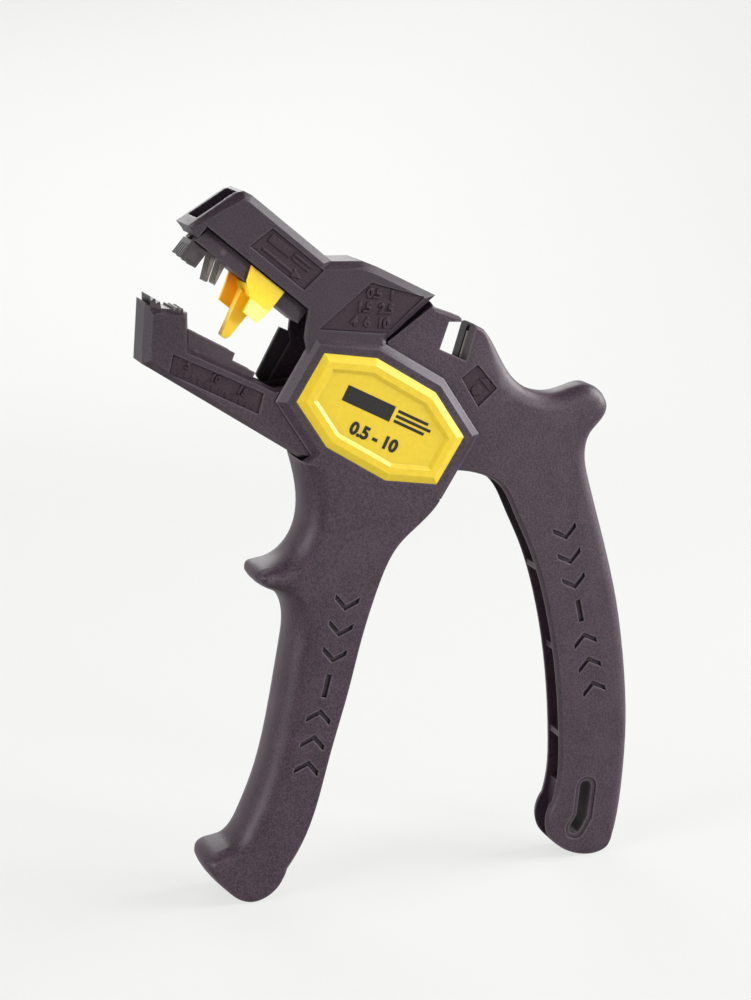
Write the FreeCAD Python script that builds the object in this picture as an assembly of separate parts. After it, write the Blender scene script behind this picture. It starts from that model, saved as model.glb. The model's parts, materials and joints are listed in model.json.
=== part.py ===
import FreeCAD, Part
import math
import os

V = FreeCAD.Vector
ALONG_Y = V(0, 1, 0)

# The stripper stands on its two handle ends. X runs across it from the jaws (-X) to the
# rear handle, Z is up, and Y is its thickness, with the near face at -Y. Millimetres.

# Overall sizes
PIVOT_X = -6.5          # main pivot, from the middle of the standing tool
PIVOT_HEIGHT = 130.0    # main pivot above the surface that the handles stand on
HUB_DROP = 30.0         # depth of the hub below the pivot, down to where the grips begin
UPPER_SLOPE = 40.0      # fall of the upper jaw towards the hub, degrees
LOWER_SLOPE = 28.0      # fall of the lower jaw towards the hub, degrees
JAW_REACH = 70.2        # pivot to the upper jaw's tip, along the upper jaw

# Half thicknesses, each to one side of the middle plane
FRONT_HALF = 9.2        # hub cheeks
HANDLE_SHY = 0.03       # front handle's faces under the hub plate's
UPPER_HALF = 8.0        # upper jaw and its hump
LOWER_HALF = 6.6        # lower jaw
REAR_HALF = 5.6         # rear handle

# Walls and clearances
LOWER_WALL = 2.2        # side walls of the lower jaw's trough
UPPER_WALL = 2.8        # side walls of the upper jaw
TOP_WALL = 2.2          # upper jaw's roof
FRONT_WALL = 2.6        # side walls of the front handle's channel
REAR_WALL = 2.0         # side walls of the rear handle's channel
FLOOR = 2.6             # floor of the lower jaw's trough
RIB = 1.6               # cross ribs of the two handles
RIB_RISE = 2.2          # rise of a rib across its handle
RUN = 0.3               # gap between faces that slide or swing past each other
FIT = 0.05              # gap of a running fit round a pin
SEAT = 0.02             # gap of a piece pressed or laid in its seat

# Main pivot
PIN_R = 3.0
PIN_HEAD_R = 5.0
PIN_HEAD = 0.9          # thickness of the pin's head
PIN_GROOVE = 0.6        # depth of the groove for the retaining ring
BUSH_WALL = 1.4
WASHER = 0.5
WASHER_R = 7.0
RING = 1.0              # retaining ring's thickness
RING_R = 5.5
RING_EYE_R = 1.2        # eyes for the ring's pliers
RING_MOUTH = 0.8        # half the ring's mouth, as a share of its inner radius
EAR_R = 13.5            # lower jaw's ears about the pivot
TONGUE_R = 14.8         # rear lever's tongue about the pivot
BACK_RECESS_R = 7.5     # sinking round the pin's far end

# Badge
BADGE_RIM = 4.3         # hub plate beyond the badge
BADGE_SINK = 0.5        # depth of the badge's seat
BADGE_PROUD = 0.9       # badge above the hub plate
BADGE_EDGE = 0.1        # upright edge of the badge above the hub plate
BADGE_BEVEL = 1.9
BADGE_STEP = 0.55       # sunk inner panel of the badge
BADGE_STEP_IN = 3.7     # border of that panel
BADGE_STEP_SLOPE = 1.0  # width of the slope down to it

# Rounded rims
GRIP_RIM = 7.0          # depth of the rounding along the front handle
REAR_RIM = 3.4
GRIP_SOFT = 5.4         # width of the rounding on the finger side
TIP_SOFT = 1.8          # the same where the outline turns sharply
NEAR_TIP_SOFT = 3.4     # the same on the way to such a turn
LIP_SOFT = 0.9          # the same along the inner lips
FOOT_SOFT = 0.3         # the same under the two feet, so that the tool stands by itself
PALM_SOFT = 3.4
SADDLE_SOFT = 4.6       # the same in the saddle for the thumb's root
SPUR_SOFT = 0.8         # the same on the cutter's two prongs
HUB_CHAMFER = 2.2
JAW_CHAMFER = 1.9

# Stripping gear
BAR_HALF = 5.4          # upper carriage's bar
BAR_LOW = 6.0           # bar's underside, from the jaw's axis through the pivot
BAR_HIGH = 10.2
BAR_REAR = 33.0         # bar's rear end, along the jaw from the pivot
BAR_FRONT_BACK = 2.5    # bar's front end behind the jaw's tip
LIP_BACK = 1.9          # rear face of the jaw's front lip, behind the tip
LIP_LOW = 6.9           # underside of that lip, from the jaw's axis
MOUTH_LEDGE = 0.6       # ledges at the sides of the jaw's open front end
MOUTH_ROOF = 1.6        # roof above that opening
CARRIAGE_HIGH = 19.8
TRAVEL = 9.5            # carriage's stroke along the jaw
TAIL_HALF = 2.1
DRAW_U = 16.0           # traction pin along and across the jaw, from the pivot
DRAW_V = 20.0
DRAW_RISE = 4.9         # how far the traction pin climbs in the tail's slot
DRAW_R = 1.4
ROLLER_R = 2.1
ROLLER_PLAY = 0.4       # gap round the roller in the tail's slot
EAR_GAP = 2.5           # half the space between the arm's two ears
CLAMP_LENGTH = 5.0
CLAMP_DEPTH = 5.0
CLAMP_HALF = 4.5
STEM_HALF = 1.9
COMB_SLOT = 0.6         # slots that part the upper clamp into fingers
COMB_SLOTS = 5
COMB_PITCH = 1.8
COMB_DEPTH = 3.6
LEAF = 0.6              # thickness of one blade leaf
LEAVES = 5
PIN_HOLD = 0.6          # length of a blade pin's end in the slide's side
PRONG = 0.3             # width of a leaf's point at its root, as a share of the leaf
POINT = 0.45            # width of its ground tip
LEAF_EDGE = 1.6         # leaf beyond the middle of its pin
BLADE_PIN_R = 0.6
TOOTH = 0.9             # height of a clamping tooth
TOOTH_PITCH = 1.5

# Length stop
WING = 1.1
WING_BEND = 3.4         # level at which the wings turn outwards, from the jaw's axis
WING_LOW = -0.6         # lower edge of the near wing
FAR_WING_LOW = -1.3
WING_FLARE = 0.9
WING_BACK = 28.9        # wing's rear edge behind the jaw's tip
FIN_HALF = 1.5
FIN_DROP = 8.5          # fin's tip below the jaw's axis

# Springs
WIRE_R = 0.55
COILS = 4.5
COIL_STEPS = 9          # straight lengths in one turn of a spring
WIRE_SIDES = 6
RETURN_R = 2.2          # middle of the return spring's wire
RETURN_DX = 8.0
RETURN_FOOT = -27.0     # return spring's foot and head, from the pivot's height
RETURN_HEAD = -14.6
JAW_SPRING_R = 1.7
JAW_SPRING_DX = -18.4
JAW_SPRING_FOOT = -6.2
JAW_SPRING_HEAD = 5.6

SPRING_PAD = 3.0        # half the width of a spring's pad

# Side cutter
CUTTER_HALF = 0.8
CUTTER_RING_R = 9.0
CUTTER_TAIL = 21.0      # blade's foot below the pivot
CUTTER_FOOT = 3.0       # half the width of that foot

# Grip marks and sunk panels
MARKS = 7
MARK_WIDTH = 1.5
MARK_DEPTH = 0.85
MARK_REACH = 3.4        # half the width of a chevron
MARK_BACK = 2.6         # its depth
MARK_BAR = 3.2          # half the length of the bar between the chevrons
PANEL_DEPTH = 0.5
HANG_DISH = 1.3         # dished border round the hanging slot
THROAT = 1.3            # thickness of the far cheek's throat guard


# Frames of the outlines

def hub(dx, dz):
    """A point given from the main pivot."""
    return (PIVOT_X + dx, PIVOT_HEIGHT + dz)


def grip(dx, share):
    """A point of a handle: across from the pivot, and its share of the grip's height."""
    return (PIVOT_X + dx, share * (PIVOT_HEIGHT - HUB_DROP))


def sloped(degrees, along, across):
    """A point given along and across a jaw that rises from the pivot towards -X."""
    slope = math.radians(degrees)
    dx = -along * math.cos(slope) + across * math.sin(slope)
    dz = along * math.sin(slope) + across * math.cos(slope)
    return hub(dx, dz)


def upper(along, across):
    return sloped(UPPER_SLOPE, along, across)


def lower(along, across):
    return sloped(LOWER_SLOPE, along, across)


def soft(point, inset):
    """A station of an outline, with the width of the rounding there."""
    return (point[0], point[1], inset)


def softened(inset, place, *pairs):
    """Stations of one frame that share the width of their rounding."""
    return [soft(place(*pair), inset) for pair in pairs]


# Solids

def prism(points, y0, y1):
    """A straight-sided outline drawn through from y0 to y1."""
    corners = [V(x, y0, z) for x, z in points]
    face = Part.Face(Part.makePolygon(corners + corners[:1]))
    return face.extrude(V(0, y1 - y0, 0))


def plate(points, half):
    return prism(points, -half, half)


def rod(point, radius, y0, y1):
    """A round pin along Y."""
    return Part.makeCylinder(radius, y1 - y0, V(point[0], y0, point[1]), ALONG_Y)


def both_sides(make):
    """A piece made for the far side, and its mirror on the near side."""
    far = make()
    return [far, far.mirror(V(0, 0, 0), ALONG_Y)]


def mitres(stations):
    """For each station of a closed outline, the inward shift that keeps its sides parallel."""
    count = len(stations)
    area = 0.0
    for here, after in zip(stations, stations[1:] + stations[:1]):
        area += here[0] * after[1] - after[0] * here[1]
    turn = math.copysign(1.0, area)
    shifts = {}
    for index, here in enumerate(stations):
        normals = []
        for start, end in ((stations[index - 1], here), (here, stations[(index + 1) % count])):
            dx = end[0] - start[0]
            dz = end[1] - start[1]
            length = math.hypot(dx, dz)
            normals.append((-dz / length * turn, dx / length * turn))
        (ax, az), (bx, bz) = normals
        scale = 1.0 / (1.0 + ax * bx + az * bz)
        shifts[here] = ((ax + bx) * scale, (az + bz) * scale)
    return shifts


def spacing(run):
    """Parameters of a run's stations: the way covered along its chords."""
    reached = [0.0]
    for here, after in zip(run, run[1:]):
        reached.append(reached[-1] + math.hypot(after[0] - here[0], after[1] - here[1]))
    return reached


def outline(runs, share, y):
    """Closed wire of runs of stations, each drawn in by a share of its rounding.

    A run of two stations is a straight side; a longer one is a smooth curve."""
    shifts = mitres([station for run in runs for station in run[:-1]])
    edges = []
    for run in runs:
        points = []
        for station in run:
            x, z, inset = station
            shift = shifts[station]
            points.append(V(x + shift[0] * inset * share, y, z + shift[1] * inset * share))
        if len(points) == 2:
            edges.append(Part.LineSegment(points[0], points[1]).toShape())
        else:
            curve = Part.BSplineCurve()
            curve.interpolate(Points=points, Parameters=spacing(run))
            edges.append(curve.toShape())
    return Part.Wire(edges)


def rounded_slab(runs, half, rim, steps):
    """A plate whose rims are rounded in steps, or chamfered in a single one."""
    flat = half - rim
    turns = [math.pi / 2 * step / steps for step in range(steps + 1)]
    wires = [outline(runs, 1 - math.cos(turn), -flat - rim * math.sin(turn)) for turn in reversed(turns)]
    wires += [outline(runs, 1 - math.cos(turn), flat + rim * math.sin(turn)) for turn in turns]
    return Part.makeLoft(wires, True, True)


def straight_runs(stations):
    """Runs of a polygon, one for each side."""
    return [list(pair) for pair in zip(stations, stations[1:] + stations[:1])]


def offset_polygon(points, distance):
    """A polygon with every side moved inwards, or outwards by a negative distance."""
    stations = [soft(point, distance) for point in points]
    shifts = mitres(stations)
    return [(s[0] + shifts[s][0] * distance, s[1] + shifts[s][1] * distance) for s in stations]


def box_outline(dx0, dz0, dx1, dz1):
    """Corners of an upright rectangle given from the main pivot."""
    return [hub(dx0, dz0), hub(dx1, dz0), hub(dx1, dz1), hub(dx0, dz1)]


def capsule(start, end, radius, y0, y1):
    """A round-ended bar between two points of an outline."""
    length = math.hypot(end[0] - start[0], end[1] - start[1])
    cx = -(end[1] - start[1]) / length * radius
    cz = (end[0] - start[0]) / length * radius
    side = prism([(start[0] + cx, start[1] + cz), (end[0] + cx, end[1] + cz),
                  (end[0] - cx, end[1] - cz), (start[0] - cx, start[1] - cz)], y0, y1)
    return side.fuse([rod(start, radius, y0, y1), rod(end, radius, y0, y1)])


def coil(dx, foot, head, radius):
    """A round-wire compression spring standing along Z."""
    x, z = hub(dx, foot + WIRE_R)
    rise = head - foot - 2 * WIRE_R
    stations = round(COILS * COIL_STEPS)
    wires = []
    for station in range(stations + 1):
        turn = 2 * math.pi * station / COIL_STEPS
        out = V(math.cos(turn), math.sin(turn), 0)
        centre = V(x, 0, z + rise * station / stations) + out * radius
        corners = []
        for side in range(WIRE_SIDES):
            angle = 2 * math.pi * (side + 0.5) / WIRE_SIDES
            corners.append(centre + out * (WIRE_R * math.cos(angle)) + V(0, 0, WIRE_R * math.sin(angle)))
        wires.append(Part.makePolygon(corners + corners[:1]))
    return Part.makeLoft(wires, True, True)


def chevron(apex, axis, reach, back):
    """A V-shaped stroke: its apex points along the axis, its arms lean back."""
    ax, az = axis
    cx, cz = -az, ax
    half = MARK_WIDTH / 2

    def place(along, across):
        return (apex[0] + ax * along + cx * across, apex[1] + az * along + cz * across)

    return [place(half, 0), place(half - back, reach), place(-half - back, reach),
            place(-half, 0), place(-half - back, -reach), place(half - back, -reach)]


def grip_marks(first, last, half):
    """Rows of chevrons sunk in both faces of a handle: three, a bar, and three the other way."""
    length = math.hypot(last[0] - first[0], last[1] - first[1])
    axis = ((last[0] - first[0]) / length, (last[1] - first[1]) / length)
    middle = MARKS // 2
    cuts = []
    for index in range(MARKS):
        along = index / (MARKS - 1)
        apex = (first[0] + (last[0] - first[0]) * along, first[1] + (last[1] - first[1]) * along)
        if index == middle:
            stroke = chevron(apex, (-axis[1], axis[0]), MARK_BAR, 0)
        else:
            way = 1 if index < middle else -1
            stroke = chevron(apex, (axis[0] * way, axis[1] * way), MARK_REACH, MARK_BACK)
        cuts += both_sides(lambda: prism(stroke, half - MARK_DEPTH, half + MARK_DEPTH))
    return cuts


# Outlines shared by pieces that fit each other

BADGE_HALF = [(-15.4, 18.4), (-1.1, 16.3), (15.0, 6.3), (23.0, -6.1)]
BADGE = [hub(dx, dz) for dx, dz in BADGE_HALF] + [hub(-dx, -dz) for dx, dz in BADGE_HALF]
HUB_PLATE = offset_polygon(BADGE, -BADGE_RIM)
PIVOT = hub(0, 0)
DRAW = upper(DRAW_U, DRAW_V)
CHEEK_INNER = LOWER_HALF + RUN
LOWER_INNER = LOWER_HALF - LOWER_WALL
TONGUE_HALF = LOWER_INNER - WASHER - 2 * FIT
UPPER_INNER = UPPER_HALF - UPPER_WALL
BUSH_R = PIN_R + FIT + BUSH_WALL
BAR_FRONT = JAW_REACH - BAR_FRONT_BACK
CLAMP_FRONT = JAW_REACH - 2.0
CLAMP_REAR = CLAMP_FRONT - CLAMP_LENGTH
BLADE_U = CLAMP_REAR - 3.7
LOWER_CARRIAGE_HALF = LOWER_INNER - RUN
LEAF_ROOM = LOWER_CARRIAGE_HALF - RUN - PIN_HOLD
LEAF_PITCH = (2 * LEAF_ROOM - 2 * RUN - LEAF) / (LEAVES - 1)
WING_INNER = BAR_HALF + RUN / 3
JAW_TOP = 23.9          # upper jaw's top edge, across from the pivot
ARM_R = 3.8             # boss of the rear lever's arm
HUMP_BACK = [(15.9, 31.5), (2.4, 20.6)]
HUMP_BACK_CLEAR = [(15.4, 29.6), (3.0, 19.8)]
UPPER_LEAF = (BLADE_U + 2.0, BLADE_U - 2.6)
UPPER_PIN = (BLADE_U + 0.6, BAR_LOW + 2.2)
LOWER_LEAF = (49.7, 46.6)
LOWER_TOP = 25.5        # top of the lower carriage's front, above the pivot
LOWER_PIN = (48.1, 6.0)
RETURN_PAD_R = 18.6     # reach of the return spring's pad from the pivot
JAW_INSERT = (-59.9, -51.3)
JAW_INSERT_FOOT = 22.0
HANG_SLOT = [(62.0, 0.203), (61.0, 0.117), (58.9, 0.083)]
HANG_R = 1.7
NOTCH = [(17.4, 17.0), (24.9, 13.4), (28.2, 24.0), (28.6, 26.5), (23.8, 26.5), (23.5, 24.0), (20.0, 24.2)]
SHOULDER = (-21.6, -9.8)
KEEL = [(-60.2, 16.1), (-21.2, -9.4)]
HEAD_BACK = -50.3       # rear face of the lower jaw's head
FLOOR_END = -24.4       # rear end of the trough's floor


def front_lever():
    """Front handle, hub cheeks and upper jaw in one moulding, open in the middle."""
    finger = softened(TIP_SOFT, hub, SHOULDER)
    finger += softened(GRIP_SOFT, hub, (-21.0, -14.0))
    finger += softened(GRIP_SOFT, grip, (-19.8, 1.068), (-20.4, 1.02), (-24.0, 0.955))
    finger += softened(NEAR_TIP_SOFT, grip, (-29.0, 0.924))
    finger += softened(TIP_SOFT, grip, (-32.4, 0.914), (-33.8, 0.893), (-32.4, 0.871))
    finger += softened(NEAR_TIP_SOFT, grip, (-27.0, 0.838))
    finger += softened(GRIP_SOFT, grip, (-24.3, 0.775), (-24.9, 0.685), (-27.9, 0.52), (-32.3, 0.339),
                       (-36.8, 0.228))
    finger += softened(NEAR_TIP_SOFT, grip, (-41.5, 0.161))
    finger += softened(TIP_SOFT, grip, (-46.6, 0.142), (-48.8, 0.116), (-47.6, 0.083))
    finger += softened(FOOT_SOFT, grip, (-42.6, 0.032), (-36.6, 0.0), (-30.6, 0.02))
    finger += softened(TIP_SOFT, grip, (-25.6, 0.077))
    inner = finger[-1:]
    inner += softened(LIP_SOFT, grip, (-19.5, 0.194), (-13.7, 0.387), (-8.4, 0.564), (-5.2, 0.686),
                      (0.1, 0.848), (6.0, 0.957), (10.2, 0.995))
    inner += softened(LIP_SOFT, hub, (14.3, -26.9), (17.2, -23.4))
    top = [inner[-1], soft(hub(17.0, -19.0), 0)]
    across = [top[-1], soft(hub(-14.0, -6.0), 0)]
    shoulder = [across[-1], finger[0]]
    handle = rounded_slab([finger, inner, top, across, shoulder], FRONT_HALF - HANDLE_SHY, GRIP_RIM, 3)

    plate_corners = [soft(point, HUB_CHAMFER) for point in HUB_PLATE]
    cheeks = rounded_slab(straight_runs(plate_corners), FRONT_HALF, HUB_CHAMFER, 1)

    under = BAR_HIGH + RUN
    jaw = softened(0, upper, (JAW_REACH - LIP_BACK, under), (JAW_REACH - LIP_BACK, LIP_LOW))
    jaw += softened(SPUR_SOFT, upper, (JAW_REACH + 1.7, LIP_LOW + 0.8))
    jaw += softened(JAW_CHAMFER, upper, (JAW_REACH - 2.9, JAW_TOP - 2.2), (JAW_REACH - 4.2, JAW_TOP - 0.5),
                    (JAW_REACH - 6.6, JAW_TOP), (36.5, JAW_TOP))
    jaw += softened(JAW_CHAMFER, hub, (-12.7, 41.6), (-4.2, 41.3), (0.2, 39.5), *HUMP_BACK)
    jaw += softened(0, hub, (2.4, 12.0), (-18.6, 12.0), (-20.2, 22.4))
    jaw += softened(0, upper, (BAR_REAR + 0.8, under))
    jaw_plate = rounded_slab(straight_runs(jaw), UPPER_HALF, JAW_CHAMFER, 1)

    # The middle is open for the lower jaw's ears and the rear lever's tongue
    well = [hub(-45, SHOULDER[1]), hub(*SHOULDER), hub(-14.0, -13.4), hub(-6.0, -15.6),
            hub(2.4, -17.4), hub(14.2, -26.8), hub(45, -26.8), hub(45, 31.2), hub(16.4, 31.2),
            hub(2.9, 20.2), hub(1.5, 18.6), hub(-17.0, 20.8), hub(-45, 20.8)]
    opened = [plate(well, CHEEK_INNER)]
    # Upper jaw and hump are hollow for the carriage and its tail, and open at the hump's back
    gallery = [upper(JAW_REACH - TOP_WALL, -5), upper(JAW_REACH - TOP_WALL, BAR_HIGH),
               upper(JAW_REACH - TOP_WALL - 4.6, JAW_TOP - TOP_WALL), upper(37.4, JAW_TOP - TOP_WALL),
               hub(-11.9, 39.3), hub(-4.6, 39.0), hub(-0.6, 37.2), hub(13.8, 30.0), hub(19, 30),
               hub(19, 12), hub(-22, 12)]
    opened.append(plate(gallery, UPPER_INNER))
    # The jaw's front end is open between its two side walls
    mouth_rear = CLAMP_REAR + RUN
    mouth = [upper(JAW_REACH + 3, under + RUN), upper(JAW_REACH + 3, JAW_TOP - MOUTH_ROOF),
             upper(mouth_rear, JAW_TOP - MOUTH_ROOF), upper(mouth_rear, under + RUN)]
    opened.append(plate(mouth, UPPER_INNER - MOUTH_LEDGE))
    # The stop's wings run back into the hub
    way_end = BAR_REAR - TRAVEL - RUN
    wing_way = [upper(36, -4), upper(36, under), upper(way_end, under), upper(way_end, -4)]
    opened.append(plate(wing_way, WING_INNER + WING + RUN / 2))
    # Ribbed channel down the inner side of the handle
    channel = [grip(2.0, 0.93), grip(-10.0, 0.88), grip(-16.5, 0.76), grip(-18.5, 0.62), grip(-22.0, 0.45),
               grip(-26.0, 0.30), grip(-28.5, 0.20), grip(-8, 0.20), grip(8, 0.60), grip(12, 0.93)]
    opened.append(plate(channel, FRONT_HALF - FRONT_WALL))
    # Behind the mouth the far cheek reaches further forward
    throat = [hub(-22.3, 22.9), hub(-28.9, 10.6), hub(-27.0, 7.0), hub(-16.0, 20.0)]
    guard = prism(throat, FRONT_HALF - THROAT - HANDLE_SHY, FRONT_HALF - HANDLE_SHY)
    body = handle.fuse([cheeks, jaw_plate]).cut(opened).fuse(guard)

    ribs = []
    for share, near, far in ((0.76, -17.5, -5.6), (0.58, -21.0, -11.0), (0.40, -25.0, -16.6)):
        x0, z = grip(near, share)
        x1 = grip(far, share)[0]
        ribs.append(plate([(x0, z), (x1, z + RIB_RISE), (x1, z + RIB_RISE + RIB), (x0, z + RIB)],
                          FRONT_HALF - FRONT_WALL))
    body = body.fuse(ribs).removeSplitter()

    cuts = [rod(PIVOT, PIN_R + FIT, -FRONT_HALF - 1, FRONT_HALF + 1),
            rod(PIVOT, PIN_HEAD_R + FIT, -FRONT_HALF - 1, -FRONT_HALF + BADGE_SINK + PIN_HEAD),
            rod(PIVOT, BACK_RECESS_R, FRONT_HALF - RING, FRONT_HALF + 1),
            prism(offset_polygon(BADGE, -SEAT), -FRONT_HALF - 1, -FRONT_HALF + BADGE_SINK)]
    # Seat of the cutter blade's foot and well of the return spring
    cuts.append(plate(box_outline(-CUTTER_FOOT - SEAT, -CUTTER_TAIL - SEAT, CUTTER_FOOT + SEAT, -10),
                      CUTTER_HALF + SEAT))
    x, z = hub(RETURN_DX, RETURN_FOOT)
    cuts.append(Part.makeCylinder(RETURN_R + WIRE_R + RUN, 20, V(x, 0, z)))
    # Sunk panels on the near face
    panel = [upper(54.6, 20.6), upper(36.9, 20.6), upper(37.9, 13.5), upper(56.4, 13.5)]
    cuts.append(prism(panel, -UPPER_HALF - 1, -UPPER_HALF + PANEL_DEPTH))
    hump_panel = [hub(-2.2, 35.8), hub(12.3, 31.4), hub(2.0, 22.3), hub(-16.4, 24.4)]
    cuts.append(prism(hump_panel, -UPPER_HALF - 1, -UPPER_HALF + PANEL_DEPTH))
    cuts += grip_marks(grip(-10.0, 0.799), grip(-20.5, 0.378), FRONT_HALF)
    return body.cut(cuts)


def tooth_grooves(start, end, inside):
    """V grooves across a clamping face that runs from start to end; the block lies towards inside."""
    length = math.hypot(end[0] - start[0], end[1] - start[1])
    ax, az = (end[0] - start[0]) / length, (end[1] - start[1]) / length
    side = math.copysign(1, (inside[0] - start[0]) * -az + (inside[1] - start[1]) * ax)
    count = round(length / TOOTH_PITCH)
    half = length / count / 2
    grooves = []
    for index in range(count):
        middle = (2 * index + 1) * half
        corners = []
        for along, depth in ((middle - half, -RUN), (middle, TOOTH), (middle + half, -RUN)):
            x = start[0] + ax * along - az * side * depth
            corners.append((x, start[1] + az * along + ax * side * depth))
        grooves.append(plate(corners, CLAMP_HALF + 1))
    return grooves


def upper_clamp():
    """Clamping block under the upper jaw's tip, on a stem that is held in the jaw's roof."""
    top = BAR_LOW - RUN
    low = top - CLAMP_DEPTH
    block = plate([upper(CLAMP_FRONT, top), upper(CLAMP_FRONT, low), upper(CLAMP_REAR, low),
                   upper(CLAMP_REAR, top)], CLAMP_HALF)
    stem = plate([upper(CLAMP_REAR, top - 1), upper(CLAMP_FRONT - 1.2, top - 1),
                  upper(CLAMP_FRONT - 1.4, BAR_HIGH + 2), upper(CLAMP_REAR, JAW_TOP - TOP_WALL - SEAT)],
                 STEM_HALF)
    cuts = tooth_grooves(upper(CLAMP_REAR, low), upper(CLAMP_FRONT, low), upper(CLAMP_REAR, top))
    comb = [upper(CLAMP_FRONT + 1, low - 1), upper(CLAMP_FRONT + 1, low + COMB_DEPTH),
            upper(CLAMP_REAR - 1, low + COMB_DEPTH), upper(CLAMP_REAR - 1, low - 1)]
    for slot in range(COMB_SLOTS):
        middle = (slot - (COMB_SLOTS - 1) / 2) * COMB_PITCH
        cuts.append(prism(comb, middle - COMB_SLOT / 2, middle + COMB_SLOT / 2))
    return block.fuse(stem).cut(cuts).removeSplitter()


def badge():
    """Eight-sided plate in the near cheek: bevelled border and a slightly sunk panel."""
    seat = prism(BADGE, -FRONT_HALF - BADGE_EDGE, -FRONT_HALF + BADGE_SINK - SEAT)
    low = Part.makePolygon([V(x, -FRONT_HALF - BADGE_EDGE, z) for x, z in BADGE + BADGE[:1]])
    inner = offset_polygon(BADGE, BADGE_BEVEL)
    high = Part.makePolygon([V(x, -FRONT_HALF - BADGE_PROUD, z) for x, z in inner + inner[:1]])
    rise = Part.makeLoft([low, high], True, True)
    sections = []
    for border, sink in ((BADGE_STEP_IN, 0), (BADGE_STEP_IN + BADGE_STEP_SLOPE, BADGE_STEP)):
        panel = offset_polygon(BADGE, border)
        y = sink - FRONT_HALF - BADGE_PROUD
        sections.append(Part.makePolygon([V(x, y, z) for x, z in panel + panel[:1]]))
    sunk = Part.makeLoft(sections, True, True)
    return seat.fuse(rise).cut(sunk).removeSplitter()


def pivot_pin():
    """Main pin: head under the badge, groove for the ring at its far end."""
    head = -FRONT_HALF + BADGE_SINK
    end = FRONT_HALF + BADGE_PROUD
    groove = FRONT_HALF - RING + SEAT
    pin = rod(PIVOT, PIN_R, head, end).fuse(rod(PIVOT, PIN_HEAD_R, head, head + PIN_HEAD))
    core = rod(PIVOT, PIN_R - PIN_GROOVE, groove, groove + RING)
    return pin.cut(rod(PIVOT, PIN_R + 1, groove, groove + RING).cut(core))


def pivot_retaining_ring():
    """Open ring sprung into the pin's groove."""
    low = FRONT_HALF - RING + SEAT
    inner = PIN_R - PIN_GROOVE + SEAT
    ring = rod(PIVOT, RING_R, low, low + RING - SEAT)
    throat = inner * RING_MOUTH
    mouth = [hub(-throat, 0), hub(throat, 0), hub(inner, -BACK_RECESS_R), hub(-inner, -BACK_RECESS_R)]
    cuts = [rod(PIVOT, inner, low - 1, low + RING), prism(mouth, low - 1, low + RING)]
    for side in (-1, 1):
        cuts.append(rod(hub((PIN_R + 1) * side, PIN_R), RING_EYE_R, low - 1, low + RING))
    return ring.cut(cuts)


def pivot_bush():
    """Bearing sleeve pressed into the rear lever's tongue."""
    sleeve = rod(PIVOT, BUSH_R, -TONGUE_HALF, TONGUE_HALF)
    return sleeve.cut(rod(PIVOT, PIN_R + FIT, -FRONT_HALF, FRONT_HALF))


def pivot_washers():
    """Thin washers between the tongue and the lower jaw's ears."""
    low = TONGUE_HALF + FIT

    def washer():
        return rod(PIVOT, WASHER_R, low, low + WASHER).cut(rod(PIVOT, PIN_R + FIT, 0, FRONT_HALF))

    return Part.makeCompound(both_sides(washer))


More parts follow.
